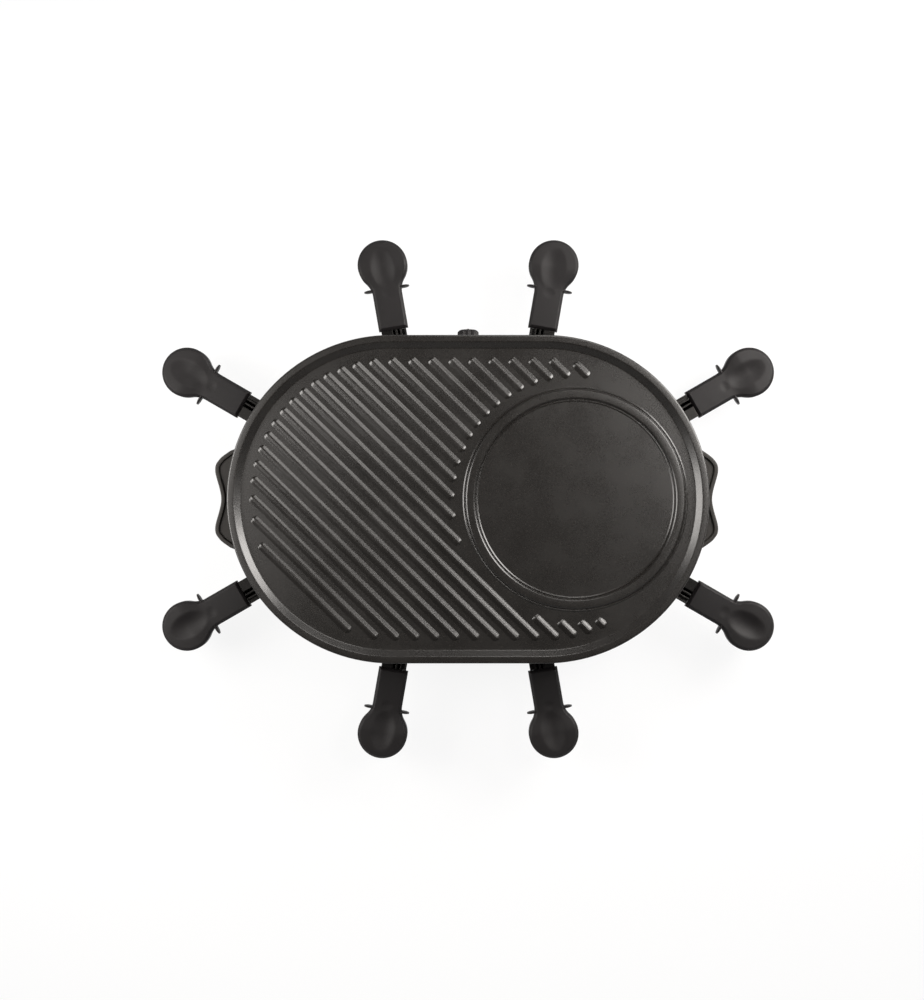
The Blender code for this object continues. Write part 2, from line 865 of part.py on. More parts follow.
def make_pilot_lamp(finish):
    flange_start = frame_radius + fit_gap
    body_start = flange_start - frame_wall - lamp_body_length
    flange = flange_start - body_start
    profile = [
        (lamp_radius, 0),
        (lamp_radius, flange),
        (lamp_flange_radius, flange),
        (lamp_flange_radius, flange + lamp_flange),
        (lamp_radius, flange + lamp_flange + lamp_dome / 2),
        (lamp_radius / 2, flange + lamp_flange + lamp_dome),
    ]
    mesh = turned("pilot_lamp", profile, place=facing_y(lamp_x, body_start, control_z))
    return put_in_scene("pilot_lamp", mesh, finish)


def make_cable_gland(finish):
    nut_start = frame_radius + fit_gap
    inner_start = frame_inner_radius - gland_inner_length
    place = facing_y(gland_x, inner_start, control_z)
    nut_low = nut_start - inner_start
    nut_high = nut_low + gland_nut_length
    nose = nut_high + gland_nose_length
    body = [(gland_radius, 0), (gland_radius, nose)]
    gland = put_in_scene("cable_gland", turned("cable_gland", body, place=place), finish)
    nut = [(gland_nut_radius, nut_low), (gland_nut_radius, nut_high)]
    fuse(gland, turned("gland_nut", nut, gland_nut_sides, place))
    bore = [(gland_bore_radius, -cut_overrun), (gland_bore_radius, nose + cut_overrun)]
    return cut(gland, turned("gland_bore", bore, place=place))


def make_terminal_block(finish):
    middle = sum(element_end_x) / 2
    half = block_width / 2
    outline = box_outline(middle - half, middle + half, block_back, block_front)
    low = element_z - block_height / 2
    high = low + block_height
    block = put_in_scene("terminal_block", prism("terminal_block", outline, low, high), finish)
    for x in element_end_x:
        hole = [(block_hole_radius, high - block_hole_depth), (block_hole_radius, high + cut_overrun)]
        place = Matrix.Translation((x, (block_back + block_front) / 2, 0))
        cut(block, turned("terminal_hole", hole, small_round_steps, place))
    return block


def make_wires(finish):
    half = thermostat_width / 2
    middle_y = (thermostat_back + thermostat_front) / 2
    gland_y = frame_inner_radius - gland_inner_length / 2
    block_end = sum(element_end_x) / 2 + block_width / 2
    near_body = half + fit_gap
    near_block = block_end + fit_gap
    supply = [
        Vector((gland_x, gland_y, control_z)),
        Vector((gland_x - wire_lead, middle_y, control_z)),
        Vector((lamp_x, shield_radius + wire_radius * 2, control_z)),
        Vector((near_body + wire_lead, middle_y, control_z)),
        Vector((near_body, middle_y, control_z)),
    ]
    switched = [
        Vector((-near_body, middle_y, control_z)),
        Vector((-near_body - wire_radius, middle_y, control_z)),
        Vector(((near_block - near_body) / 2, middle_y, control_z - wire_radius)),
        Vector((near_block + wire_radius, middle_y, control_z)),
        Vector((near_block, middle_y, control_z)),
    ]
    for name, route in (("supply_wire", supply), ("switched_wire", switched)):
        path = smooth_curve(route, wire_curve_steps)
        tube(name, path, wire_radius, wire_bevel_steps, finish)


def rounded_outline(corners, radius, inset, steps):
    """Convex outline whose corners keep their centres while it is drawn in by inset."""
    points = []
    count = len(corners)
    for i, corner in enumerate(corners):
        before = (corner - corners[i - 1]).normalized()
        after = (corners[(i + 1) % count] - corner).normalized()
        turn = before.angle(after)
        inward = (after - before).normalized()
        centre = corner + inward * radius / math.cos(turn / 2)
        start = math.atan2(-before.x, before.y)
        points += arc(centre, radius - inset, start, start + turn, steps)
    return points


def pan_outline(inset):
    front = pan_front_width / 2
    back = pan_back_width / 2
    corners = [
        Vector((-pan_length, -back)),
        Vector((0, -front)),
        Vector((0, front)),
        Vector((-pan_length, back)),
    ]
    return rounded_outline(corners, pan_corner_radius, inset, pan_corner_steps)


def pan_mesh():
    wall = pan_flange
    foot = wall + pan_draft
    profile = [
        (foot + pan_bottom_round, pan_bottom),
        (foot, pan_bottom + pan_bottom_round),
        (wall, pan_top - pan_sheet),
        (0, pan_top - pan_sheet),
        (0, pan_top),
        (wall + pan_sheet, pan_top),
        (foot + pan_sheet, pan_bottom + pan_sheet + pan_bottom_round),
        (foot + pan_sheet + pan_bottom_round, pan_bottom + pan_sheet),
    ]
    return loft("pan", [at_height(pan_outline(inset), z) for inset, z in profile])


def bracket_mesh(side):
    """Comb-shaped tang with a block on one half and fins on the other, and a tongue into the handle."""
    half = bracket_width / 2
    top = bracket_top
    crown = bracket_bottom + bracket_height
    fin_room = bracket_width - bracket_block_width
    fin_step = fin_room / bracket_fin_count
    outline = [(-half, bracket_bottom), (half, bracket_bottom)]
    for fin in range(bracket_fin_count):
        outer = half - fin * fin_step
        outline += [(outer, crown), (outer - bracket_fin, crown)]
        outline += [(outer - bracket_fin, top), (outer - fin_step, top)]
    outline += [(-half + bracket_block_width, crown), (-half, crown)]
    start = fit_gap
    end = handle_start - fit_gap
    loops = [[Vector((x, side * y, z)) for y, z in outline] for x in (start, end)]
    comb = put_in_scene("bracket_comb", loft("bracket_comb", loops))
    back = -pan_flange + bracket_wall_gap
    front = handle_start + tongue_length
    flat = box_outline(back, front, -tongue_width / 2, tongue_width / 2)
    fuse(comb, prism("bracket_tongue", flat, bracket_bottom, bracket_top))
    hole_radius = screw_radius + screw_clearance
    hole = [(hole_radius, bracket_bottom - cut_overrun), (hole_radius, bracket_top + cut_overrun)]
    place = Matrix.Translation((screw_x, 0, 0))
    cut(comb, turned("tongue_hole", hole, small_round_steps, place))
    return settled(comb)


def bulb_half_width(x):
    """Half width of the handle: straight neck, hollow fillet, round end."""
    ball = handle_ball_radius
    neck = handle_neck_half_width
    side = neck + handle_fillet
    back = math.sqrt((ball + handle_fillet) ** 2 - side**2)
    from_ball = handle_ball_x - x
    meet = back * ball / (ball + handle_fillet)
    if from_ball >= back:
        return neck
    if from_ball >= meet:
        return side - math.sqrt(handle_fillet**2 - (back - from_ball) ** 2)
    return math.sqrt(max(ball**2 - from_ball**2, 0))


def handle_section(x, half_width, half_height):
    """Rounded cross-section of the handle at x."""
    loop = []
    for i in range(handle_section_points):
        angle = full_turn * (i + 0.5) / handle_section_points
        c, s = math.cos(angle), math.sin(angle)
        y = half_width * math.copysign(abs(c) ** handle_section_power, c)
        z = half_height * math.copysign(abs(s) ** handle_section_power, s)
        loop.append(Vector((x, y, handle_z + z)))
    widest = max(point.y for point in loop)
    for point in loop:
        point.y *= half_width / widest
    return loop


def handle_mesh():
    neck_end = guard_x
    loops = [
        handle_section(
            handle_start,
            handle_neck_half_width - handle_end_round,
            handle_neck_half_height - handle_end_round,
        )
    ]
    for share in handle_neck_share:
        x = handle_start + handle_end_round + (neck_end - handle_start - handle_end_round) * share
        loops.append(handle_section(x, bulb_half_width(x), handle_neck_half_height))
    for step in range(1, handle_bulb_steps + 1):
        turn = full_turn / 4 * step / handle_bulb_steps
        x = neck_end + (handle_tip - neck_end) * math.sin(turn)
        if step == handle_bulb_steps:
            x = handle_tip - handle_end_round / 2
        swell = math.sin(full_turn / 2 * step / handle_bulb_steps)
        height = handle_neck_half_height
        height += (handle_ball_half_height - handle_neck_half_height) * swell
        width = bulb_half_width(x)
        loops.append(handle_section(x, width, min(height, width)))
    loops.append(handle_section(handle_tip, handle_end_round * 2, handle_end_round))
    handle = put_in_scene("handle_blank", loft("handle_blank", loops))
    outline = rounded_outline(
        [
            Vector((-guard_half_length, -guard_half_height)),
            Vector((guard_half_length, -guard_half_height)),
            Vector((guard_half_length, guard_half_height)),
            Vector((-guard_half_length, guard_half_height)),
        ],
        guard_half_height / 2,
        0,
        pan_corner_steps,
    )
    sides = (guard_x - guard_thickness / 2, guard_x + guard_thickness / 2)
    loops = [[Vector((x, y, handle_z + z)) for y, z in outline] for x in sides]
    fuse(handle, loft("finger_guard", loops))
    side = tongue_width / 2 + fit_gap
    low = bracket_bottom - fit_gap
    high = bracket_top + fit_gap
    end = handle_start + tongue_length + fit_gap
    slot = box_outline(handle_start - cut_overrun, end, -side, side)
    cut(handle, prism("tongue_slot", slot, low, high))
    underside = handle_z - handle_neck_half_height
    head = screw_head_radius + screw_clearance
    shank = screw_radius + screw_clearance
    head_top = underside + screw_head_height + 2 * fit_gap
    profile = [
        (head, underside - cut_overrun),
        (head, head_top),
        (shank, head_top),
        (shank, head_top + screw_length),
    ]
    place = Matrix.Translation((screw_x, 0, 0))
    cut(handle, turned("screw_hole", profile, small_round_steps, place))
    return settled(handle)


def screw_mesh():
    underside = handle_z - handle_neck_half_height
    low = underside + fit_gap
    head_top = low + screw_head_height
    profile = [
        (screw_head_radius, low),
        (screw_head_radius, head_top),
        (screw_radius, head_top),
        (screw_radius, head_top + screw_length - fit_gap),
    ]
    mesh = turned("pan_handle_screw", profile, small_round_steps)
    mesh.transform(Matrix.Translation((screw_x, 0, 0)))
    return mesh


def make_pans(coating, steel, plastic):
    shapes = {
        "pan": (pan_mesh(), coating),
        "pan_handle": (handle_mesh(), plastic),
        "pan_handle_screw": (screw_mesh(), steel),
    }
    brackets = {side: bracket_mesh(side) for side in (-1, 1)}
    for mesh, finish in shapes.values():
        mesh.materials.clear()
        mesh.materials.append(finish)
    for mesh in brackets.values():
        mesh.materials.clear()
        mesh.materials.append(steel)
    for number, place, side in pan_places():
        carrier = bpy.data.objects.new(f"pan_slide_{number}", None)
        bpy.context.scene.collection.objects.link(carrier)
        carrier.matrix_world = place
        meshes = {name: mesh for name, (mesh, _) in shapes.items()}
        meshes["pan_bracket"] = brackets[side]
        for name, mesh in meshes.items():
            piece = bpy.data.objects.new(f"{name}_{number}", mesh)
            bpy.context.scene.collection.objects.link(piece)
            piece.parent = carrier


def main():
    clear_scene()
    coating = make_material("dark_nonstick_coating", (0.045, 0.043, 0.041), 0.42, 0.0)
    black_plastic = make_material("black_plastic", (0.03, 0.03, 0.031), 0.48, 0.0)
    frame_plastic = make_material("frame_plastic", (0.02, 0.02, 0.021), 0.4, 0.0)
    steel = make_material("steel", (0.55, 0.55, 0.56), 0.35, 1.0)
    dark_steel = make_material("dark_steel", (0.12, 0.12, 0.125), 0.4, 1.0)
    rubber = make_material("rubber", (0.02, 0.02, 0.02), 0.8, 0.0)
    red_lens = make_material("red_lens", (0.6, 0.02, 0.015), 0.15, 0.0)
    ceramic = make_material("ceramic", (0.75, 0.73, 0.68), 0.6, 0.0)
    wire_cover = make_material("wire_cover", (0.35, 0.2, 0.1), 0.5, 0.0)
    make_grill_plate(coating)
    make_upper_frame(frame_plastic)
    make_heat_shield(steel)
    make_heating_element(dark_steel)
    make_element_clips(steel)
    make_base_shell(frame_plastic)
    make_rubber_feet(rubber)
    make_pan_deck(coating)
    make_end_posts(frame_plastic)
    make_post_bolts(steel)
    make_side_grips(black_plastic)
    make_thermostat(ceramic)
    make_shaft_and_knob(steel, black_plastic)
    make_pilot_lamp(red_lens)
    make_cable_gland(black_plastic)
    make_terminal_block(ceramic)
    make_wires(wire_cover)
    make_pans(coating, dark_steel, black_plastic)
    print(f"{len(bpy.data.objects)} objects made")


main()
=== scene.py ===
import json
import math

import bmesh
import bpy
from mathutils import Matrix, Vector


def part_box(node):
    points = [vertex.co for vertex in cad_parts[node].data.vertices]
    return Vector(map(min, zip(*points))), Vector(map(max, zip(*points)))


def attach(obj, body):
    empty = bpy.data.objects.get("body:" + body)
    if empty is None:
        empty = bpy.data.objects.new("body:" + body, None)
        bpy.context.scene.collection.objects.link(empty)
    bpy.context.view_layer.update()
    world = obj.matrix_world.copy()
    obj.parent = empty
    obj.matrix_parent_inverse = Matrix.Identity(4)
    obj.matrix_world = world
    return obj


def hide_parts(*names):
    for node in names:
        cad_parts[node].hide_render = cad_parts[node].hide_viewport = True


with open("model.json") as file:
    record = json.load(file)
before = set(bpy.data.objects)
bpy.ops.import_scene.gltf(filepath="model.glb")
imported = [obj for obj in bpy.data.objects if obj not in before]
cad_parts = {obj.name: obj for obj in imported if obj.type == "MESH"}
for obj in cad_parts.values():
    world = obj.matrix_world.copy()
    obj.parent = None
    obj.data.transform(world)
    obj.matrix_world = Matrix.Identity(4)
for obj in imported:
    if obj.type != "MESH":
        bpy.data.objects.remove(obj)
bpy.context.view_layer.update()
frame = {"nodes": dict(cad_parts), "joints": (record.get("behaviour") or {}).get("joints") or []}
for startupName in ("Cube", "Camera", "Light"):
    startupObject = bpy.data.objects.get(startupName)
    if startupObject:
        bpy.data.objects.remove(startupObject, do_unlink=True)
scene = bpy.context.scene
quarterTurn = math.pi / 2
print("frame loaded")

# Everything is placed from the frame: the oval, its levels and the eight pans
plateLow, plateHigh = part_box("grill_plate")
frameLow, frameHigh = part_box("upper_frame")
shieldLow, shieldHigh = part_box("heat_shield")
baseLow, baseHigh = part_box("base_shell")
deckLow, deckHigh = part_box("pan_deck")
halfStraight = plateHigh.x - plateHigh.y
plateReach = plateHigh.y
frameReach = frameHigh.y
shieldReach = shieldHigh.y
baseReach = baseHigh.y
deckReach = deckHigh.y
shaftLow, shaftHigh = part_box("thermostat_shaft")
controlHeight = (shaftLow.z + shaftHigh.z) / 2
handleLow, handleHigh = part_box("pan_handle_1")
handleMiddle = (handleLow.z + handleHigh.z) / 2
handleHalfHeight = (handleHigh.z - handleLow.z) / 2


def levels(node):
    # The lowest and the highest Z of a frame node.
    return [corner.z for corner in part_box(node)]


# Shapes shared by many pieces


def arcPoints(centre, radius, start, end, steps):
    points = []
    for i in range(steps + 1):
        angle = start + (end - start) * i / steps
        x = centre[0] + radius * math.cos(angle)
        points.append(Vector((x, centre[1] + radius * math.sin(angle))))
    return points


def ovalOutline(reach, steps=72):
    right = arcPoints((halfStraight, 0), reach, -quarterTurn, quarterTurn, steps)
    left = arcPoints((-halfStraight, 0), reach, quarterTurn, quarterTurn * 3, steps)
    return right + left


def circleOutline(radius, sides):
    return arcPoints((0, 0), radius, 0, quarterTurn * 4, sides)[:-1]


def atHeight(outline, z):
    return [Vector((point[0], point[1], z)) for point in outline]


def softened(corners, steps=4, closed=False):
    # Each corner is (across, up, rounding), and the rounded ones become short curves.
    points = []
    count = len(corners)
    for i, (across, up, rounding) in enumerate(corners):
        here = Vector((across, up))
        isEnd = not closed and i in (0, count - 1)
        if not rounding or isEnd:
            points.append(here)
            continue
        before = Vector(corners[i - 1][:2]) - here
        after = Vector(corners[(i + 1) % count][:2]) - here
        reach = rounding / math.tan(before.angle(after) / 2)
        reach = min(reach, before.length / 2, after.length / 2)
        start = here + before.normalized() * reach
        end = here + after.normalized() * reach
        for step in range(steps + 1):
            t = step / steps
            points.append(start * (1 - t) ** 2 + here * (2 * t * (1 - t)) + end * t**2)
    return points


def smoothCurve(points, steps):
    ends = [points[0], *points, points[-1]]
    curve = []
    for before, start, end, after in zip(ends, ends[1:], ends[2:], ends[3:]):
        for i in range(steps):
            t = i / steps
            bend = (2 * before - 5 * start + 4 * end - after) * t**2
            twist = (3 * start - before - 3 * end + after) * t**3
            curve.append((2 * start + (end - before) * t + bend + twist) / 2)
    return [*curve, points[-1]]


def finishMesh(mesh, sharpAngle=38):
    # Doubles go first, then the faces are turned outwards.
    work = bmesh.new()
    work.from_mesh(mesh)
    bmesh.ops.remove_doubles(work, verts=work.verts, dist=2e-6)
    bmesh.ops.dissolve_degenerate(work, edges=work.edges, dist=1e-6)
    bmesh.ops.recalc_face_normals(work, faces=work.faces)
    work.to_mesh(mesh)
    work.free()
    mesh.shade_smooth()
    mesh.set_sharp_from_angle(angle=math.radians(sharpAngle))
    return mesh


def loftMesh(loops, ring=False, sharpAngle=38):
    count = len(loops[0])
    points = [tuple(point) for loop in loops for point in loop]
    faces = []
    rows = len(loops) if ring else len(loops) - 1
    for row in range(rows):
        here = row * count
        there = (row + 1) % len(loops) * count
        for i in range(count):
            j = (i + 1) % count
            faces.append((here + i, here + j, there + j, there + i))
    if not ring:
        last = (len(loops) - 1) * count
        faces.append(tuple(reversed(range(count))))
        faces.append(tuple(range(last, last + count)))
    mesh = bpy.data.meshes.new("loft")
    mesh.from_pydata(points, [], faces)
    return finishMesh(mesh, sharpAngle)


def ovalMesh(corners, steps, ring=False):
    profile = softened(corners, steps, closed=ring)
    return loftMesh([atHeight(ovalOutline(reach), z) for reach, z in profile], ring)


def turnedMesh(corners, steps, place, sides, ring=False):
    profile = softened(corners, steps, closed=ring)
    mesh = loftMesh([atHeight(circleOutline(r, sides), z) for r, z in profile], ring)
    mesh.transform(place)
    return mesh


def boxOutline(left, front, right, back):
    return [(left, front), (right, front), (right, back), (left, back)]


def prismMesh(outline, low, high):
    return loftMesh([atHeight(outline, low), atHeight(outline, high)])


def facingKnobSide(x, y, z):
    # Lays a turned shape on its side, so that its height runs along +Y.
    return Matrix.Translation((x, y, z)) @ Matrix.Rotation(-quarterTurn, 4, "X")


def edgeLinesMesh(routes):
    mesh = bpy.data.meshes.new("lines")
    points = []
    edges = []
    for route in routes:
        first = len(points)
        points += [tuple(point) for point in route]
        edges += [(first + i, first + i + 1) for i in range(len(route) - 1)]
    mesh.from_pydata(points, edges, [])
    return mesh


def plainMeshOf(holder):
    # What the modifiers make, as a mesh of its own; the holder then goes.
    bpy.context.view_layer.update()
    graph = bpy.context.evaluated_depsgraph_get()
    mesh = bpy.data.meshes.new_from_object(holder.evaluated_get(graph))
    bpy.data.objects.remove(holder, do_unlink=True)
    return mesh


def cutMesh(mesh, cutters, sharpAngle=38):
    holder = bpy.data.objects.new("being_cut", mesh)
    scene.collection.objects.link(holder)
    tools = []
    for cutter in cutters:
        tool = bpy.data.objects.new("cutter", cutter)
        scene.collection.objects.link(tool)
        change = holder.modifiers.new("cut", "BOOLEAN")
        change.operation = "DIFFERENCE"
        change.object = tool
        tools.append(tool)
    result = plainMeshOf(holder)
    for tool in tools:
        bpy.data.objects.remove(tool, do_unlink=True)
    return finishMesh(result, sharpAngle)


def addPiece(name, mesh, look, replaced=None, body="base", bevel=0):
    mesh.name = name
    piece = bpy.data.objects.new(name, mesh)
    scene.collection.objects.link(piece)
    mesh.materials.clear()
    mesh.materials.append(look)
    if bevel:
        rounding = piece.modifiers.new("rounded_edges", "BEVEL")
        rounding.width = bevel
        rounding.segments = 3
        rounding.limit_method = "ANGLE"
        rounding.angle_limit = math.radians(35)
        rounding.harden_normals = True
    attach(piece, body)
    if replaced:
        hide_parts(replaced)


# Shader and geometry maths


class Wire:
    # One socket of a node tree, so that sums on it read as sums.
    def __init__(self, maker, socket):
        self.maker = maker
        self.socket = socket

    def maths(self, operation, first, second=0.0):
        return self.maker.add("ShaderNodeMath", {"operation": operation}, {0: first, 1: second})

    def __add__(self, other):
        return self.maths("ADD", self, other)

    __radd__ = __add__

    def __sub__(self, other):
        return self.maths("SUBTRACT", self, other)

    def __rsub__(self, other):
        return self.maths("SUBTRACT", other, self)

    def __mul__(self, other):
        return self.maths("MULTIPLY", self, other)

    __rmul__ = __mul__

    def __truediv__(self, other):
        return self.maths("DIVIDE", self, other)

    def __rtruediv__(self, other):
        return self.maths("DIVIDE", other, self)

    def above(self, other):
        return self.maths("MAXIMUM", self, other)

    def below(self, other):
        return self.maths("MINIMUM", self, other)

    def root(self):
        return self.maths("SQRT", self)

    def cosine(self):
        return self.maths("COSINE", self)

    def clamped(self):
        settings = {"operation": "ADD", "use_clamp": True}
        return self.maker.add("ShaderNodeMath", settings, {0: self, 1: 0.0})


class NodeMaker:
    # Adds the nodes of a finish or of a geometry tree.
    def __init__(self, tree):
        self.tree = tree

    def add(self, kind, settings=None, values=None, output=0):
        node = self.tree.nodes.new(kind)
        for setting, value in (settings or {}).items():
            if setting == "stops":
                elements = node.color_ramp.elements
                while len(elements) < len(value):
                    elements.new(1)
                for element, (place, shade) in zip(elements, value):
                    element.position = place
                    element.color = (shade, shade, shade, 1)
            else:
                setattr(node, setting, value)
        for socket, value in (values or {}).items():
            if isinstance(value, Wire):
                self.tree.links.new(value.socket, node.inputs[socket])
            else:
                node.inputs[socket].default_value = value
        return Wire(self, node.outputs[output])


class Finish(NodeMaker):
    def __init__(self, name, colour, roughness, **fixed):
        self.material = bpy.data.materials.new(name)
        self.material.use_nodes = True
        self.material.diffuse_color = (*colour, 1)
        super().__init__(self.material.node_tree)
        self.shader = self.tree.nodes["Principled BSDF"]
        self.shader.inputs["Base Color"].default_value = (*colour, 1)
        self.shader.inputs["Roughness"].default_value = roughness
        for socketName, value in fixed.items():
            self.shader.inputs[socketName.replace("_", " ")].default_value = value

    def place(self, stretch=None):
        coordinates = self.add("ShaderNodeTexCoord", output="Object")
        if stretch is None:
            return coordinates
        return self.add("ShaderNodeMapping", None, {"Vector": coordinates, "Scale": stretch})

    def noise(self, scale, detail, coarseness=0.5, stretch=None):
        values = {"Scale": scale, "Detail": detail, "Roughness": coarseness}
        values["Vector"] = self.place(stretch)
        return self.add("ShaderNodeTexNoise", None, values)

    def ramp(self, value, stops):
        return self.add("ShaderNodeValToRGB", {"stops": stops}, {"Fac": value})

    def mixed(self, share, first, second):
        first = first if isinstance(first, Wire) else (*first, 1)
        second = second if isinstance(second, Wire) else (*second, 1)
        values = {0: share, 6: first, 7: second}
        return self.add("ShaderNodeMix", {"data_type": "RGBA"}, values, output=2)

    def edges(self, strength):
        # Runs from 0 on flat and hollow places to 1 on outer edges.
        pointed = self.add("ShaderNodeNewGeometry", output="Pointiness")
        return ((pointed - 0.5) * strength).clamped()

    def feed(self, socket, value):
        self.tree.links.new(value.socket, self.shader.inputs[socket])

    def bumped(self, height, strength, depth):
        values = {"Height": height, "Strength": strength, "Distance": depth}
        self.feed("Normal", self.add("ShaderNodeBump", None, values))


class TreeMaker(NodeMaker):
    # Builds a geometry tree whose named inputs are its sizes.
    def __init__(self, name, sizes):
        super().__init__(bpy.data.node_groups.new(name, "GeometryNodeTree"))
        self.put("Geometry", "NodeSocketGeometry")
        for size in sizes:
            self.put(size, "NodeSocketFloat")
        self.put("Look", "NodeSocketMaterial")
        self.put("Geometry", "NodeSocketGeometry", "OUTPUT")
        self.inputs = self.tree.nodes.new("NodeGroupInput")

    def put(self, name, kind, direction="INPUT"):
        self.tree.interface.new_socket(name, in_out=direction, socket_type=kind)

    def given(self, name):
        return Wire(self, self.inputs.outputs[name])

    def close(self, geometry):
        smooth = self.add("GeometryNodeSetShadeSmooth", None, {"Geometry": geometry})
        real = self.add("GeometryNodeRealizeInstances", None, {"Geometry": smooth})
        values = {"Geometry": real, "Material": self.given("Look")}
        painted = self.add("GeometryNodeSetMaterial", None, values)
        end = self.tree.nodes.new("NodeGroupOutput")
        self.tree.links.new(painted.socket, end.inputs["Geometry"])
        return self.tree


print("tools ready")

# Finishes

coatingGrain = {
    "clouds": (26, 4, 0.6),
    "grain": (1150, 3, 0.65),
    "specks": (820, 1),
    "speckStops": [(0.60, 0.0), (0.72, 1.0)],
    "grainShare": 0.55,
    "speckShare": 0.16,
    "speckBump": 0.3,
    "edgeContrast": 4.0,
    "edgeShare": 0.12,
    "cloudRoughness": 0.16,
    "grainRoughness": 0.14,
    "bump": 0.07,
    "shine": 0.55,
}
plateCoatingLook = {
    "dark": (0.0032, 0.0026, 0.0021),
    "light": (0.0080, 0.0066, 0.0054),
    "speck": (0.060, 0.053, 0.046),
    "roughness": 0.28,
    "grainDepth": 0.00008,
}
panCoatingLook = {
    "dark": (0.0080, 0.0079, 0.0076),
    "light": (0.0165, 0.0162, 0.0155),
    "speck": (0.070, 0.068, 0.065),
    "roughness": 0.30,
    "grainDepth": 0.00006,
}


def makeCoating(name, look):
    g = coatingGrain
    finish = Finish(name, look["light"], look["roughness"], Specular_IOR_Level=g["shine"])
    clouds = finish.noise(*g["clouds"])
    grain = finish.noise(*g["grain"])
    specks = finish.ramp(finish.noise(*g["specks"]), g["speckStops"])
    share = clouds * (1 - g["grainShare"]) + grain * g["grainShare"]
    shade = finish.mixed(share.clamped(), look["dark"], look["light"])
    spots = specks * g["speckShare"] + finish.edges(g["edgeContrast"]) * g["edgeShare"]
    finish.feed("Base Color", finish.mixed(spots, shade, look["speck"]))
    rough = look["roughness"] + (clouds - 0.5) * g["cloudRoughness"]
    finish.feed("Roughness", rough + (grain - 0.5) * g["grainRoughness"])
    finish.bumped(grain + specks * g["speckBump"], g["bump"], look["grainDepth"])
    return finish.material


plasticGrain = {
    "clouds": (45, 3),
    "leather": (1500, 2, 0.55),
    "leatherShare": 0.5,
    "pitScale": 1250,
    "pitShare": 0.4,
    "edgeContrast": 6.0,
    "edgeShare": 0.45,
    "edgePolish": 0.10,
    "cloudRoughness": 0.20,
    "leatherRoughness": 0.16,
    "bump": 0.45,
    "shine": 0.24,
}
plasticLook = {
    "dark": (0.0041, 0.0034, 0.0036),
    "light": (0.0086, 0.0073, 0.0077),
    "worn": (0.028, 0.025, 0.026),
    "roughness": 0.52,
    "grainDepth": 0.00012,
}
gripLook = {
    "dark": (0.011, 0.0100, 0.0088),
    "light": (0.024, 0.0215, 0.0190),
    "worn": (0.045, 0.042, 0.038),
    "roughness": 0.50,
    "grainDepth": 0.00012,
}
housingLook = {
    "dark": (0.0085, 0.0085, 0.0088),
    "light": (0.0160, 0.0160, 0.0164),
    "worn": (0.042, 0.042, 0.043),
    "roughness": 0.38,
    "grainDepth": 0.00007,
}


def makeMouldedPlastic(name, look):
    g = plasticGrain
    finish = Finish(name, look["light"], look["roughness"], Specular_IOR_Level=g["shine"])
    clouds = finish.noise(*g["clouds"])
    leather = finish.noise(*g["leather"])
    values = {"Vector": finish.place(), "Scale": g["pitScale"]}
    pits = finish.add("ShaderNodeTexVoronoi", {"feature": "F1"}, values)
    worn = finish.edges(g["edgeContrast"])
    share = clouds * (1 - g["leatherShare"]) + leather * g["leatherShare"]
    shade = finish.mixed(share.clamped(), look["dark"], look["light"])
    finish.feed("Base Color", finish.mixed(worn * g["edgeShare"], shade, look["worn"]))
    rough = look["roughness"] + (clouds - 0.5) * g["cloudRoughness"]
    rough += (leather - 0.5) * g["leatherRoughness"]
    finish.feed("Roughness", rough - worn * g["edgePolish"])
    relief = leather * (1 - g["pitShare"]) + pits * g["pitShare"]
    finish.bumped(relief, g["bump"], look["grainDepth"])
    return finish.material


brushedGrain = {
    "brushing": (1.0, 3, 0.7),
    "smudges": (38, 3),
    "smudgeShare": 0.3,
    "brushRoughness": 0.22,
    "smudgeRoughness": 0.18,
    "bump": 0.25,
    "depth": 0.00004,
}
steelLook = {
    "dark": (0.40, 0.40, 0.405),
    "light": (0.62, 0.62, 0.625),
    "roughness": 0.30,
    "stretch": (6, 6, 900),
}
darkSteelLook = {
    "dark": (0.009, 0.0087, 0.0084),
    "light": (0.032, 0.031, 0.030),
    "roughness": 0.30,
    "stretch": (700, 700, 12),
}


def makeBrushedSteel(name, look):
    g = brushedGrain
    finish = Finish(name, look["light"], look["roughness"], Metallic=1.0)
    brushing = finish.noise(*g["brushing"], stretch=look["stretch"])
    smudges = finish.noise(*g["smudges"])
    share = brushing * (1 - g["smudgeShare"]) + smudges * g["smudgeShare"]
    finish.feed("Base Color", finish.mixed(share, look["dark"], look["light"]))
    rough = look["roughness"] + (brushing - 0.5) * g["brushRoughness"]
    finish.feed("Roughness", rough + (smudges - 0.5) * g["smudgeRoughness"])
    finish.bumped(brushing, g["bump"], g["depth"])
    return finish.material


# Mottled finishes: coarse and fine noise, the way roughness follows one of them, and the bump
elementLook = {
    "dark": (0.050, 0.046, 0.043),
    "light": (0.115, 0.085, 0.070),
    "roughness": 0.46,
    "coarse": (30, 4),
    "stops": [(0.35, 0.0), (0.65, 1.0)],
    "fine": (900, 3, 0.7),
    "rougher": ("fine", 0.5, 0.3),
    "bump": (0.3, 0.00006),
}
rubberLook = {
    "dark": (0.013, 0.013, 0.013),
    "light": (0.028, 0.028, 0.028),
    "roughness": 0.78,
    "coarse": (160, 4, 0.65),
    "fine": (1400, 2),
    "rougher": ("coarse", 0.5, 0.2),
    "bump": (0.3, 0.00008),
}
lampLook = {
    "dark": (0.30, 0.006, 0.004),
    "light": (0.62, 0.022, 0.014),
    "roughness": 0.12,
    "coarse": (420, 2),
    "fine": (420, 2),
    "rougher": ("fine", 0, 0.08),
    "bump": (0.2, 0.0001),
}
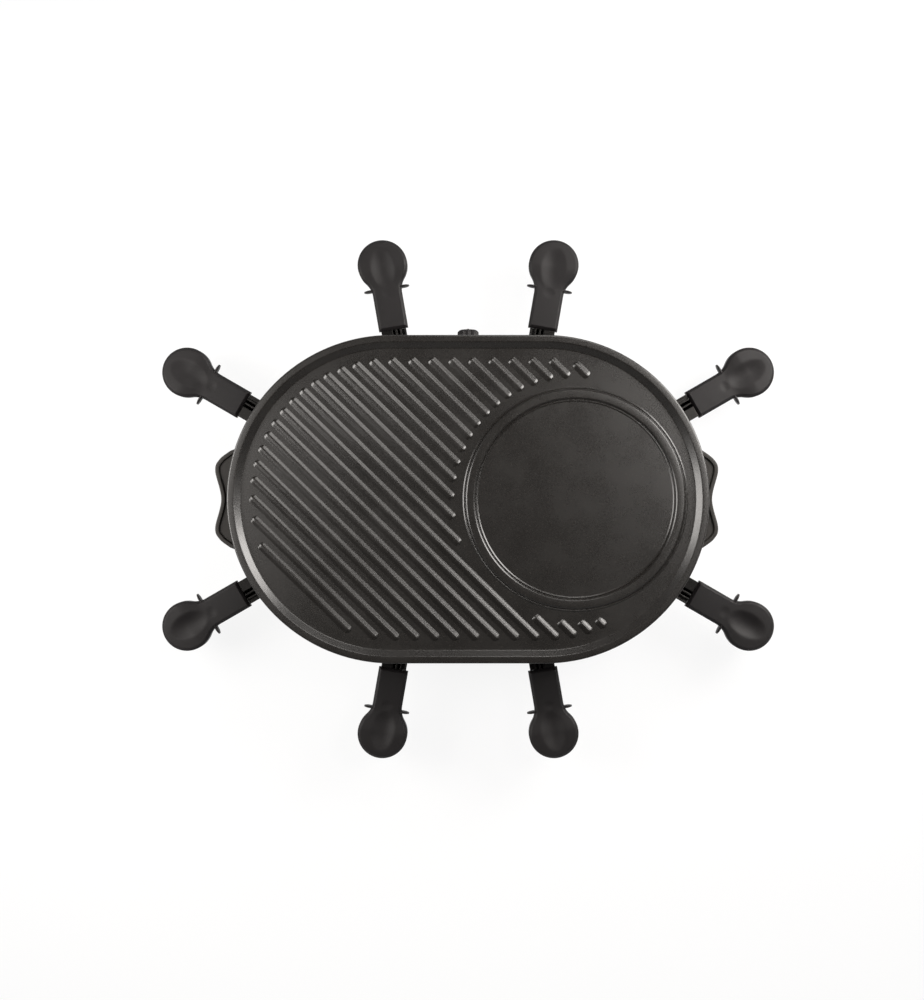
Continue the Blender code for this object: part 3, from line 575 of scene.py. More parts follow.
ceramicLook = {
    "dark": (0.60, 0.575, 0.53),
    "light": (0.76, 0.74, 0.70),
    "roughness": 0.62,
    "coarse": (70, 4, 0.6),
    "fine": (70 * 14, 2),
    "rougher": ("fine", 0.5, 0.25),
    "bump": (0.3, 0.00008),
}
sleeveLook = {
    **ceramicLook,
    "dark": (0.20, 0.105, 0.05),
    "light": (0.42, 0.26, 0.14),
    "roughness": 0.6,
    "coarse": (240, 4, 0.6),
    "fine": (240 * 14, 2),
}


def makeMottled(name, look, colour="light", **fixed):
    finish = Finish(name, look[colour], look["roughness"], **fixed)
    noises = {"coarse": finish.noise(*look["coarse"]), "fine": finish.noise(*look["fine"])}
    share = noises["coarse"]
    if "stops" in look:
        share = finish.ramp(share, look["stops"])
    finish.feed("Base Color", finish.mixed(share, look["dark"], look["light"]))
    which, middle, spread = look["rougher"]
    finish.feed("Roughness", look["roughness"] + (noises[which] - middle) * spread)
    finish.bumped(noises["fine"], *look["bump"])
    return finish.material


plateCoating = makeCoating("plate_coating", plateCoatingLook)
panCoating = makeCoating("pan_coating", panCoatingLook)
handlePlastic = makeMouldedPlastic("handle_plastic", plasticLook)
gripPlastic = makeMouldedPlastic("grip_plastic", gripLook)
housingPlastic = makeMouldedPlastic("housing_plastic", housingLook)
brightSteel = makeBrushedSteel("bright_steel", steelLook)
bracketSteel = makeBrushedSteel("bracket_steel", darkSteelLook)
elementSteel = makeMottled("element_steel", elementLook, "dark", Metallic=0.85)
rubber = makeMottled("rubber", rubberLook, Specular_IOR_Level=0.3)
lampLens = makeMottled("lamp_lens", lampLook, Coat_Weight=0.4)
ceramic = makeMottled("ceramic", ceramicLook)
wireSleeve = makeMottled("wire_sleeve", sleeveLook)

print("finishes made")

# Cast plate: its body with rim and lip, the griddle's ribs and the crepe ring

plateSizes = {
    "rimFlat": 0.0062,
    "rimSlope": 0.0056,
    "rimHeight": 0.0045,
    "castThickness": 0.0045,
    "slabDrop": 0.0025,
    "slabClearance": 0.0055,
    "lipGap": 0.0045,
    "rimBend": 0.0020,
    "edgeRounding": 0.0016,
}
ribSizes = {
    "pitch": 0.0126,
    "angle": math.radians(-44.25),
    "phase": 0.0415,
    "halfWidth": 0.0054,
    "height": 0.0016,
    "endLength": 0.0036,
    "edgeMargin": 0.0196,
    "ringGap": 0.0089,
    "searchStep": 0.0002,
}
ringSizes = {
    "setback": 0.1206,
    "height": 0.0018,
    "midHeight": 0.0011,
    "creaseHeight": 0.0001,
    "bumpHeight": 0.0007,
    "slopeRun": 0.0010,
    "creaseRun": 0.0006,
    "creaseWidth": 0.0004,
    "bumpTop": 0.0003,
    "outer": 0.0979,
    "inner": 0.0919,
    "rounding": 0.0003,
    "skin": 0.00004,
    "sides": 200,
}
ringRun = (ringSizes["slopeRun"] + ringSizes["creaseRun"]) * 2
ringRun += ringSizes["creaseWidth"] + ringSizes["bumpTop"]
plateFloor = plateHigh.z - plateSizes["rimHeight"]
ringCentre = plateHigh.x - ringSizes["setback"]


def makePlateBody():
    s = plateSizes
    small = s["edgeRounding"] / 2
    ledge = plateFloor - s["castThickness"] + s["slabDrop"]
    slopeEnd = plateReach - s["rimFlat"]
    slopeStart = slopeEnd - s["rimSlope"]
    slabReach = frameReach - s["slabClearance"]
    corners = [
        (slopeStart - s["rimBend"] * 2, plateFloor, 0),
        (slopeStart, plateFloor, s["rimBend"]),
        (slopeEnd, plateHigh.z, s["rimBend"]),
        (plateReach, plateHigh.z, s["edgeRounding"]),
        (plateReach, plateLow.z, small),
        (frameReach + s["lipGap"], plateLow.z, small),
        (frameReach + s["lipGap"], ledge, small),
        (slabReach + s["slabDrop"], ledge, small),
        (slabReach, ledge - s["slabDrop"], 0),
    ]
    addPiece("plate_cast", ovalMesh(corners, 8), plateCoating, "grill_plate", body="plate")


def ribRuns():
    # Ends of each rib's middle line, where it crosses the griddle but not the crepe ring.
    s = ribSizes
    along = Vector((math.cos(s["angle"]), math.sin(s["angle"])))
    across = Vector((-along.y, along.x))
    edge = plateReach - s["edgeMargin"] - s["halfWidth"]
    clear = ringSizes["outer"] + ringRun / 2 + s["ringGap"] + s["halfWidth"]
    reach = plateReach + halfStraight * 2
    lines = math.ceil((plateReach + halfStraight) / s["pitch"])
    for line in range(-lines, lines + 1):
        base = across * (s["phase"] + line * s["pitch"])
        run = []
        for i in range(int(2 * reach / s["searchStep"]) + 1):
            point = base + along * (i * s["searchStep"] - reach)
            beyond = max(abs(point.x) - halfStraight, 0)
            inside = math.hypot(beyond, point.y) <= edge
            if inside and math.hypot(point.x - ringCentre, point.y) >= clear:
                run.append(point)
            elif run:
                yield run[0] - along * s["halfWidth"], run[-1] + along * s["halfWidth"]
                run = []


def ridgeTree():
    # A soft ridge along each edge, tapering to nothing at both ends.
    sectionPoints = 19
    leastSwell = 0.02
    maker = TreeMaker("soft_ridges", ["Half width", "Height", "Sink", "End length", "Spacing"])
    line = maker.add("GeometryNodeMeshToCurve", None, {"Mesh": maker.given("Geometry")})
    values = {"Curve": line, "Length": maker.given("Spacing")}
    line = maker.add("GeometryNodeResampleCurve", {"mode": "LENGTH"}, values)
    line = maker.add("GeometryNodeSetCurveNormal", {"mode": "Z_UP"}, {"Curve": line})
    walked = maker.add("GeometryNodeSplineParameter", output="Length")
    whole = maker.add("GeometryNodeSplineLength", output="Length")
    missing = 1.0 - (walked.below(whole - walked) / maker.given("End length")).below(1.0)
    swell = (1.0 - missing * missing).root().above(leastSwell)
    # The section: a cosine hump on a flat foot, drawn as a line of points and then closed.
    values = {"Count": sectionPoints, "Start Location": (-1, 0, 0), "Offset": (1, 0, 0)}
    section = maker.add("GeometryNodeMeshLine", {"mode": "END_POINTS"}, values)
    place = maker.add("GeometryNodeInputPosition")
    across = maker.add("ShaderNodeSeparateXYZ", None, {"Vector": place})
    hump = ((across * math.pi).cosine() + 1.0) * (maker.given("Height") * 0.5)
    values = {"X": across * maker.given("Half width"), "Y": maker.given("Sink") - hump}
    values = {"Geometry": section, "Position": maker.add("ShaderNodeCombineXYZ", None, values)}
    section = maker.add("GeometryNodeSetPosition", None, values)
    section = maker.add("GeometryNodeMeshToCurve", None, {"Mesh": section})
    section = maker.add("GeometryNodeSetSplineCyclic", None, {"Geometry": section, "Cyclic": True})
    values = {"Curve": line, "Profile Curve": section, "Fill Caps": True, "Scale": swell}
    return maker.close(maker.add("GeometryNodeCurveToMesh", None, values))


def tubeTree():
    maker = TreeMaker("round_tubes", ["Radius"])
    line = maker.add("GeometryNodeMeshToCurve", None, {"Mesh": maker.given("Geometry")})
    values = {"Resolution": 20, "Radius": maker.given("Radius")}
    section = maker.add("GeometryNodeCurvePrimitiveCircle", None, values)
    values = {"Curve": line, "Profile Curve": section, "Fill Caps": True}
    return maker.close(maker.add("GeometryNodeCurveToMesh", None, values))


def grownMesh(routes, tree, look, **sizes):
    # Runs a tree on plain lines, and gives what grows on them as one plain mesh.
    holder = bpy.data.objects.new("lines", edgeLinesMesh(routes))
    scene.collection.objects.link(holder)
    change = holder.modifiers.new("grown", "NODES")
    change.node_group = tree
    given = [item for item in tree.interface.items_tree if item.in_out == "INPUT"]
    named = {item.name: item.identifier for item in given}
    for size, value in sizes.items():
        change[named[size.replace("_", " ")]] = value
    change[named["Look"]] = look
    return finishMesh(plainMeshOf(holder), 60)


softRidges = ridgeTree()
roundTubes = tubeTree()


def makePlateRibs():
    s = ribSizes
    routes = [[Vector((*end, plateFloor)) for end in run] for run in ribRuns()]
    sizes = {
        "Half_width": s["halfWidth"],
        "Height": s["height"],
        "Sink": s["height"] / 8,
        "End_length": s["endLength"],
        "Spacing": s["endLength"] / 6,
    }
    mesh = grownMesh(routes, softRidges, plateCoating, **sizes)
    addPiece("plate_ribs", mesh, plateCoating, body="plate")
    print(len(routes), "ribs")


def makeCrepeRing():
    # Both walls fall in a slope, a narrow crease and a low bead.
    s = ringSizes
    foot = plateFloor - s["height"]
    sunk = plateFloor - s["skin"]
    skirt = ringRun * 1.2
    crease = s["slopeRun"] + s["creaseRun"]
    steps = [
        (0, s["height"]),
        (s["slopeRun"], s["midHeight"]),
        (crease, s["creaseHeight"]),
        (crease + s["creaseWidth"], s["creaseHeight"]),
        (ringRun - s["slopeRun"] - s["bumpTop"], s["bumpHeight"]),
        (ringRun - s["slopeRun"], s["bumpHeight"]),
        (ringRun, 0),
    ]
    outward = [(s["outer"] + run, plateFloor + up, s["rounding"]) for run, up in steps]
    inward = [(s["inner"] - run, plateFloor + up, s["rounding"]) for run, up in steps]
    corners = [
        (s["outer"] + skirt, foot, 0),
        (s["outer"] + skirt, sunk, 0),
        *reversed(outward),
        *inward,
        (s["inner"] - skirt, sunk, 0),
        (s["inner"] - skirt, foot, 0),
    ]
    place = Matrix.Translation((ringCentre, 0, 0))
    mesh = turnedMesh(corners, 3, place, s["sides"], ring=True)
    addPiece("crepe_ring", mesh, plateCoating, body="plate")


makePlateBody()
makePlateRibs()
makeCrepeRing()
print("plate made")

# Frame, shield and element under the plate

frameSizes = {
    "wall": 0.0025,
    "floor": 0.0025,
    "ledge": 0.0015,
    "rounding": 0.0022,
    "shaftHole": 0.0042,
    "lampHole": 0.0043,
    "glandHole": 0.0053,
    "holeSides": 40,
}
shieldSizes = {"wall": 0.0012, "beadDepth": 0.0008, "beadHeight": 0.003, "elementHole": 0.0041}
elementSizes = {
    "radius": 0.0035,
    "shieldGap": 0.020,
    "bend": 0.010,
    "bendSteps": 10,
    "loopSteps": 72,
    "endProud": 0.0038,
    "rise": 0.014,
    "ends": (-0.054, -0.030),
}
shieldInner = shieldReach - shieldSizes["wall"]
elementHeight = frameLow.z + elementSizes["rise"]
lampX = sum(corner.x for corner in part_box("pilot_lamp")) / 2
glandX = sum(corner.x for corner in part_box("cable_gland")) / 2


def holeAlongY(x, startY, length, z, radius):
    place = facingKnobSide(x, startY, z)
    return turnedMesh([(radius, 0, 0), (radius, length, 0)], 1, place, frameSizes["holeSides"])


def makeFrame():
    s = frameSizes
    inner = frameReach - s["wall"]
    floorTop = frameLow.z + s["floor"]
    mouth = shieldInner - s["ledge"]
    corners = [
        (frameReach, frameLow.z, s["rounding"]),
        (frameReach, frameHigh.z, s["wall"] / 4),
        (inner, frameHigh.z, s["wall"] / 4),
        (inner, floorTop, s["wall"] / 2),
        (mouth, floorTop, s["floor"] / 4),
        (mouth, frameLow.z, s["floor"] / 4),
    ]
    mesh = ovalMesh(corners, 5, ring=True)
    start = inner - s["wall"]
    holes = []
    for x, radius in ((0, s["shaftHole"]), (lampX, s["lampHole"]), (glandX, s["glandHole"])):
        holes.append(holeAlongY(x, start, s["wall"] * 3, controlHeight, radius))
    addPiece("frame_ring", cutMesh(mesh, holes), housingPlastic, "upper_frame")


def makeShield():
    s = shieldSizes
    middle = (shieldLow.z + shieldHigh.z) / 2
    bead = s["beadHeight"]
    depth = s["beadDepth"]
    outer = [
        (shieldReach, shieldLow.z),
        (shieldReach, middle - bead * 2),
        (shieldReach - depth, middle - bead),
        (shieldReach - depth, middle + bead),
        (shieldReach, middle + bead * 2),
        (shieldReach, shieldHigh.z),
    ]
    inner = [(reach - s["wall"], z) for reach, z in reversed(outer)]
    corners = [(reach, z, s["wall"]) for reach, z in outer + inner]
    mesh = ovalMesh(corners, 4, ring=True)
    start = shieldReach - s["wall"] * 4
    holes = []
    for x in elementSizes["ends"]:
        holes.append(holeAlongY(x, start, s["wall"] * 8, elementHeight, s["elementHole"]))
    addPiece("shield_ring", cutMesh(mesh, holes), brightSteel, "heat_shield")


def makeElement():
    s = elementSizes
    loop = shieldInner - s["shieldGap"]
    bend = s["bend"]
    firstX, lastX = s["ends"]
    reach = shieldReach + s["endProud"]
    route = [Vector((firstX, reach))]
    route += arcPoints((firstX - bend, loop + bend), bend, 0, -quarterTurn, s["bendSteps"])
    route += arcPoints((-halfStraight, 0), loop, quarterTurn, quarterTurn * 3, s["loopSteps"])
    route += arcPoints((halfStraight, 0), loop, -quarterTurn, quarterTurn, s["loopSteps"])
    start = (lastX + bend, loop + bend)
    route += arcPoints(start, bend, -quarterTurn, -quarterTurn * 2, s["bendSteps"])
    route += [Vector((lastX, reach))]
    spaced = [route[0]]
    for point in route[1:]:
        if (point - spaced[-1]).length > s["radius"] / 10:
            spaced.append(point)
    line = [Vector((*point, elementHeight)) for point in spaced]
    mesh = grownMesh([line], roundTubes, elementSteel, Radius=s["radius"])
    addPiece("element_tube", mesh, elementSteel, "heating_element")


# Base, feet, deck, posts and the frame's bosses over the posts

baseSizes = {"wall": 0.003, "rounding": 0.0034}
deckSizes = {
    "rimWidth": 0.0025,
    "rimHeight": 0.0015,
    "sheet": 0.0015,
    "railHeight": 0.0025,
    "railHalfWidth": 0.0029,
    "railSpacing": 0.028,
    "railSetback": 0.008,
    "railEnd": 0.005,
}
postSizes = {
    "halfWidth": 0.022,
    "thickness": 0.0137,
    "rimGap": 0.0003,
    "waist": 0.0015,
    "flare": 0.008,
    "rounding": 0.0018,
    "levels": 24,
    "arcSteps": 16,
}
bossSizes = {
    "radius": 0.0055,
    "height": 0.0115,
    "footFlare": 1.25,
    "footRounding": 0.001,
    "topRounding": 0.0006,
    "sides": 40,
}
footSizes = {
    "radius": 0.012,
    "height": 0.0077,
    "rounding": 0.0016,
    "hollow": 0.0006,
    "hollowShares": (0.4, 0.6, 0.66),
    "hollowRounding": 0.0004,
    "sides": 56,
    "bossRadius": 0.010,
    "bossRounding": 0.0006,
    "bossSides": 48,
}
postLine = deckReach - deckSizes["rimWidth"] - postSizes["rimGap"] - postSizes["thickness"] / 2


def makeBase():
    s = baseSizes
    inner = baseReach - s["wall"]
    corners = [
        (baseReach - s["wall"] * 3, baseHigh.z, 0),
        (baseReach, baseHigh.z, s["rounding"]),
        (baseReach, baseLow.z, s["wall"] / 4),
        (inner, baseLow.z, s["wall"] / 4),
        (inner, baseHigh.z - s["wall"], s["wall"] / 2),
        (inner - s["wall"] * 3, baseHigh.z - s["wall"], 0),
    ]
    addPiece("base_tray", ovalMesh(corners, 7), housingPlastic, "base_shell")


def makeFeet():
    s = footSizes
    middle, slope, tread = (s["radius"] * share for share in s["hollowShares"])
    footCorners = [
        (middle, s["hollow"], 0),
        (slope, s["hollow"], s["hollowRounding"]),
        (tread, 0, s["hollowRounding"]),
        (s["radius"], 0, s["rounding"]),
        (s["radius"], s["height"], s["rounding"] / 2),
        (s["radius"] / 4, s["height"], 0),
    ]
    bossCorners = [
        (s["bossRadius"] / 4, baseLow.z, 0),
        (s["bossRadius"], baseLow.z, s["bossRounding"]),
        (s["bossRadius"], baseHigh.z - baseSizes["wall"] / 2, 0),
    ]
    for number in range(1, 5):
        node = f"rubber_foot_{number}"
        low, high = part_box(node)
        place = Matrix.Translation(((low.x + high.x) / 2, (low.y + high.y) / 2, 0))
        mesh = turnedMesh(footCorners, 5, place, s["sides"])
        addPiece(f"foot_{number}", mesh, rubber, node)
        mesh = turnedMesh(bossCorners, 4, place, s["bossSides"])
        addPiece(f"foot_boss_{number}", mesh, housingPlastic)


def panFrames():
    # Each pan's own frame: +X runs out along its handle, from the front of the pan.
    axes = {joint["name"]: Vector(joint["axis"]) for joint in frame["joints"]}
    for number in range(1, 9):
        axis = axes[f"pan_{number}_slide"]
        low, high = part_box(f"pan_handle_screw_{number}")
        screw = (low + high) / 2
        start = Vector((screw.x, screw.y, 0)) - axis * handleSizes["screwX"]
        turn = math.atan2(axis.y, axis.x)
        yield number, Matrix.Translation(start) @ Matrix.Rotation(turn, 4, "Z"), start


handleSizes = {
    "start": 0.024,
    "neckHalfWidth": 0.0138,
    "neckHalfHeight": 0.0065,
    "ballRadius": 0.0233,
    "ballX": 0.085,
    "fillet": 0.020,
    "edgeRounding": 0.0034,
    "chamferReach": 0.0025,
    "chamferStart": 0.0011,
    "chamferBends": (0.0005, 0.0008),
    "roundSteps": 7,
    "outlineSteps": 10,
    "crown": 0.0006,
    "crownReach": 0.024465,
    "dishX": 0.0815,
    "dishLength": 0.0200,
    "dishWidth": 0.0118,
    "dishDepth": 0.0026,
    "dishPower": 1.4,
    "dishFront": 1.12,
    "scoopX": 0.0585,
    "scoopRadius": 0.0046,
    "scoopDepth": 0.0004,
    "scoopWiden": 1.35,
    "scoopPower": 1.5,
    "guardX": 0.0628,
    "guardThickness": 0.002,
    "guardDrop": 0.0006,
    "guardHalfLength": 0.0214,
    "guardEdge": 0.0005,
    "guardCornerShare": 0.75,
    "screwX": 0.031,
    "screwRecess": 0.0037,
    "screwRecessDepth": 0.0019,
    "screwRecessSides": 40,
    "tongueWidth": 0.016,
}
fillShares = (0.94, 0.88, 0.82, 0.75, 0.68, 0.61, 0.54, 0.47, 0.40, 0.33, 0.26, 0.19, 0.12, 0.06, 0)
panSizes = {
    "length": 0.096,
    "frontWidth": 0.090,
    "backWidth": 0.052,
    "corner": 0.012,
    "flange": 0.0034,
    "sheet": 0.0012,
    "draft": 0.003,
    "bottomBend": 0.0030,
    "flangeBend": 0.0012,
    "lipBend": 0.00054,
}


def makeDeck():
    s = deckSizes
    deckTop = deckLow.z + s["sheet"]
    rimInner = deckReach - s["rimWidth"]
    corners = [
        (rimInner - s["rimWidth"] * 3, deckTop, 0),
        (rimInner, deckTop, s["rimHeight"]),
        (rimInner + s["rimHeight"], deckTop + s["rimHeight"], s["rimHeight"] / 2),
        (deckReach, deckTop + s["rimHeight"], s["rimHeight"] / 2),
        (deckReach, deckLow.z, s["rimHeight"] / 4),
        (deckReach - s["rimWidth"], deckLow.z, 0),
    ]
    addPiece("deck_sheet", ovalMesh(corners, 5), panCoating, "pan_deck")
    routes = []
    for _, place, _ in panFrames():
        for side in (-1, 1):
            y = side * s["railSpacing"] / 2
            ends = (-s["railSetback"], s["railSetback"] - panSizes["length"])
            routes.append([place @ Vector((x, y, deckTop)) for x in ends])
    sizes = {
        "Half_width": s["railHalfWidth"],
        "Height": s["railHeight"],
        "Sink": s["sheet"] / 4,
        "End_length": s["railEnd"],
        "Spacing": s["railEnd"] / 5,
    }
    addPiece("deck_rails", grownMesh(routes, softRidges, panCoating, **sizes), panCoating)


def makePosts():
    s = postSizes
    steps = s["arcSteps"]
    outerReach = postLine + s["thickness"] / 2
    innerReach = postLine - s["thickness"] / 2
    for name, side in (("left", -1), ("right", 1)):
        node = f"end_post_{name}"
        low, high = levels(node)
        loops = []
        for level in range(s["levels"] + 1):
            z = low + (high - low) * level / s["levels"]
            fromEnd = min(z - low, high - z, s["flare"]) / s["flare"]
            waist = s["waist"] * (1 - (1 - fromEnd) ** 2)
            turn = math.asin((s["halfWidth"] - waist) / postLine)
            outer = arcPoints((halfStraight, 0), outerReach - waist, -turn, turn, steps)
            inner = arcPoints((halfStraight, 0), innerReach + waist, turn, -turn, steps)
            corners = [(point.x, point.y, 0) for point in outer + inner]
            for i in (0, steps, steps + 1, steps * 2 + 1):
                corners[i] = (*corners[i][:2], s["rounding"])
            outline = softened(corners, 4, closed=True)
            loops.append([Vector((side * point.x, point.y, z)) for point in outline])
        addPiece(f"post_{name}", loftMesh(loops), housingPlastic, node)


def makeFrameBosses():
    s = bossSizes
    low = frameLow.z + frameSizes["floor"] / 2
    high = frameLow.z + frameSizes["floor"] + s["height"]
    corners = [
        (s["radius"] * s["footFlare"], low, 0),
        (s["radius"], low + frameSizes["floor"], s["footRounding"]),
        (s["radius"], high, s["topRounding"]),
        (s["radius"] / 4, high, 0),
    ]
    for name, side in (("left", -1), ("right", 1)):
        place = Matrix.Translation((side * (halfStraight + postLine), 0, 0))
        mesh = turnedMesh(corners, 4, place, s["sides"])
        addPiece(f"frame_boss_{name}", mesh, housingPlastic)


makeFrame()
makeFrameBosses()
makeShield()
makeElement()
print("frame and element made")
makeBase()
makeFeet()
makeDeck()
makePosts()
print("base, deck and posts made")

# Carrying grips at the short ends

gripSizes = {
    "waistReach": 0.0149,
    "lobeReach": 0.0204,
    "lobeY": 0.0258,
    "shoulderReach": 0.0166,
    "shoulderY": 0.0362,
    "rightDraw": 0.0026,
    "endY": 0.0442,
    "endReach": 0.0065,
    "rootY": 0.0500,
    "gap": 0.0003,
    "lip": 0.0034,
    "lipRounding": 0.0011,
    "bottomRounding": 0.0026,
    "pocketDepth": 0.0020,
    "pocketSlope": 0.0010,
    "pocketRounding": 0.0006,
    "curveSteps": 14,
    "rootSteps": 24,
}


def gripOutline(inset, rootInset, draw):
    # draw is how much shorter than its solid the grip is.
    s = gripSizes
    wall = halfStraight + frameReach + s["gap"] - draw
    waist = Vector((wall + s["waistReach"], 0))
    lobe = Vector((wall + s["lobeReach"], s["lobeY"]))
    shoulder = Vector((wall + s["shoulderReach"], s["shoulderY"]))
    end = Vector((wall + s["endReach"], s["endY"]))
    lowerLobe = Vector((lobe.x, -lobe.y))
    curve = smoothCurve([lowerLobe, waist, lobe, shoulder, end], s["curveSteps"])
    upper = [point for point in curve[s["curveSteps"]:] if point.y > 0]
    lower = [Vector((point.x, -point.y)) for point in reversed(upper)]
    front = [*lower, waist, *upper]
    drawn = []
    for i, point in enumerate(front):
        run = (front[min(i + 1, len(front) - 1)] - front[max(i - 1, 0)]).normalized()
        drawn.append(point - Vector((run.y, -run.x)) * inset)
    root = frameReach + s["gap"] + rootInset
    turn = math.asin((s["rootY"] - inset) / root)
    return drawn + arcPoints((halfStraight, 0), root, turn, -turn, s["rootSteps"])


def makeGrips():
    s = gripSizes
    floorStart = s["lip"] + s["pocketSlope"]
    for name, side in (("left", -1), ("right", 1)):
        node = f"side_grip_{name}"
        draw = max(0, side) * s["rightDraw"]
        low, high = levels(node)
        pocket = high - s["pocketDepth"]
        corners = [
            (s["bottomRounding"] * 1.6, low, 0),
            (0, low, s["bottomRounding"]),
            (0, high, s["lipRounding"]),
            (s["lip"], high, s["pocketRounding"]),
            (floorStart, pocket, s["pocketRounding"]),
            (floorStart + s["pocketSlope"], pocket, 0),
        ]
        loops = []
        for inset, z in softened(corners, 5):
            rootInset = s["lip"] / 2 if inset > s["lip"] * 0.6 else 0
            outline = gripOutline(inset, rootInset, draw)
            loops.append([Vector((side * point.x, point.y, z)) for point in outline])
        addPiece(f"grip_{name}", loftMesh(loops, sharpAngle=50), gripPlastic, node)


# Knob, lamp and cable gland on the long side

knobSizes = {
    "radius": 0.0096,
    "flutes": 12,
    "fluteDepth": 0.0015,
    "pointsPerFlute": 8,
    "endRounding": 0.0020,
    "shoulder": 0.0026,
    "crown": 0.0008,
    "dishDepth": 0.0014,
    "pointerWidth": 0.0016,
    "frontClearance": 0.0010,
    "crownShare": 0.80,
    "dishShare": 0.62,
    "dishFloorShare": 0.58,
    "fluteStart": 0.6,
    "fluteSharpness": 0.6,
    "pointerProud": 0.0011,
    "pointerShare": 0.86,
    "pointerFoot": 0.9,
    "pointerCorner": 0.00064,
    "pointerBevel": 0.0002,
}
lampSizes = {
    "radius": 0.004,
    "flange": 0.0052,
    "flangeDepth": 0.0008,
    "dome": 0.0010,
    "domeShare": 0.55,
    "rounding": 0.0004,
    "innerRounding": 0.0001,
    "domeRounding": 0.0016,
    "sides": 48,
}
glandSizes = {
    "nut": 0.0078,
    "nutLength": 0.003,
    "nutBevel": 0.0003,
    "radius": 0.005,
    "bore": 0.0034,
    "nutBore": 0.00495,
    "nose": 0.003,
    "noseShare": 0.92,
    "roundings": (0.0004, 0.0005, 0.0002, 0.0009, 0.0006),
    "sides": 48,
}


def makeKnob():
    s = knobSizes
    low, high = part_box("thermostat_knob")
    length = high.y - low.y - s["frontClearance"]
    dish = length - s["dishDepth"]
    count = s["flutes"] * s["pointsPerFlute"]
    sides = [
        (s["radius"] / 2, 0, 0),
        (s["radius"], 0, s["endRounding"] / 4),
        (s["radius"], length - s["shoulder"], s["endRounding"]),
        (s["radius"] * s["crownShare"], length - s["crown"], s["endRounding"]),
        (s["radius"] * s["dishShare"], length - s["crown"] / 2, s["endRounding"] / 3),
        (s["radius"] * s["dishFloorShare"], dish, s["endRounding"] / 3),
        (s["radius"] * 0.1, dish, 0),
    ]
    loops = []
    for across, up in softened(sides, 6):
        depth = s["fluteDepth"] * min(1, max(0, (length - up) / s["endRounding"]))
        depth *= max(0, (across / s["radius"] - s["fluteStart"]) / (1 - s["fluteStart"]))
        loop = []
        for i in range(count):
            angle = quarterTurn * 4 * i / count
            wave = (1 - math.cos(angle * s["flutes"])) / 2
            radius = across - depth * wave ** s["fluteSharpness"]
            loop.append(Vector((radius * math.cos(angle), radius * math.sin(angle), up)))
        loops.append(loop)
    mesh = loftMesh(loops, sharpAngle=50)
    place = facingKnobSide(0, low.y, controlHeight)
    mesh.transform(place)
    addPiece("knob_turned", mesh, handlePlastic, "thermostat_knob", body="knob")
    half = s["pointerWidth"] / 2
    outline = boxOutline(-half, -s["radius"] * s["pointerShare"], half, 0)
    outline = softened([(*corner, s["pointerCorner"]) for corner in outline], 4, closed=True)
    mesh = prismMesh(outline, length * s["pointerFoot"], dish + s["pointerProud"])
    mesh.transform(place)
    addPiece("knob_pointer", mesh, gripPlastic, body="knob", bevel=s["pointerBevel"])


def makeLamp():
    s = lampSizes
    low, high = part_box("pilot_lamp")
    flange = high.y - s["dome"] - s["flangeDepth"] - low.y
    face = flange + s["flangeDepth"]
    corners = [
        (s["radius"] / 2, 0, 0),
        (s["radius"], 0, s["rounding"]),
        (s["radius"], flange, s["innerRounding"]),
        (s["flange"], flange, s["rounding"] / 2),
        (s["flange"], face, s["rounding"]),
        (s["radius"], face, s["rounding"]),
        (s["radius"] * s["domeShare"], face + s["dome"], s["domeRounding"]),
        (s["radius"] * 0.1, face + s["dome"], 0),
    ]
    place = facingKnobSide(lampX, low.y, controlHeight)
    addPiece("lamp_window", turnedMesh(corners, 5, place, s["sides"]), lampLens, "pilot_lamp")


def makeGland():
    s = glandSizes
    low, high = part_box("cable_gland")
    length = high.y - low.y
    noseRadius = s["radius"] * s["noseShare"]
    places = [
        (s["bore"], 0),
        (s["radius"], 0),
        (s["radius"], length - s["nose"]),
        (noseRadius, length),
        (s["bore"], length),
    ]
    corners = [(*place, rounding) for place, rounding in zip(places, s["roundings"])]
    place = facingKnobSide(glandX, low.y, controlHeight)
    mesh = turnedMesh(corners, 4, place, s["sides"], ring=True)
    addPiece("gland_sleeve", mesh, handlePlastic, "cable_gland")
    bore = circleOutline(s["nutBore"], s["sides"])
    half = math.radians(30)
    hexagon = []
    for i in range(s["sides"]):
        angle = quarterTurn * 4 * i / s["sides"]
        fromFlat = (angle + half) % (half * 2) - half
        reach = s["nut"] * math.cos(half) / math.cos(fromFlat)
        hexagon.append(Vector((reach * math.cos(angle), reach * math.sin(angle))))
    end = length - s["nose"]
    start = end - s["nutLength"]
    rows = ((bore, start), (hexagon, start), (hexagon, end), (bore, end))
    mesh = loftMesh([atHeight(*row) for row in rows], ring=True, sharpAngle=20)
    mesh.transform(place)
    addPiece("gland_nut", mesh, handlePlastic, bevel=s["nutBevel"])


makeGrips()
makeKnob()
makeLamp()
makeGland()
print("grips and controls made")

# Pans with their brackets, handles, guards and screws

bracketSizes = {
    "width": 0.0235,
    "blockWidth": 0.0105,
    "fin": 0.0016,
    "fins": 3,
    "sheet": 0.002,
    "gap": 0.0003,
    "wallGap": 0.0004,
    "rounding": 0.0003,
    "tongueReach": 0.014,
    "tongueCorner": 0.003,
}
screwSizes = {
    "head": 0.0033,
    "headHeight": 0.0016,
    "headRounding": 0.0007,
    "shank": 0.0017,
    "rounding": 0.0001,
    "endRounding": 0.0003,
    "slotWidth": 0.0008,
    "slotDepth": 0.0007,
    "slotShare": 0.62,
    "sides": 40,
}


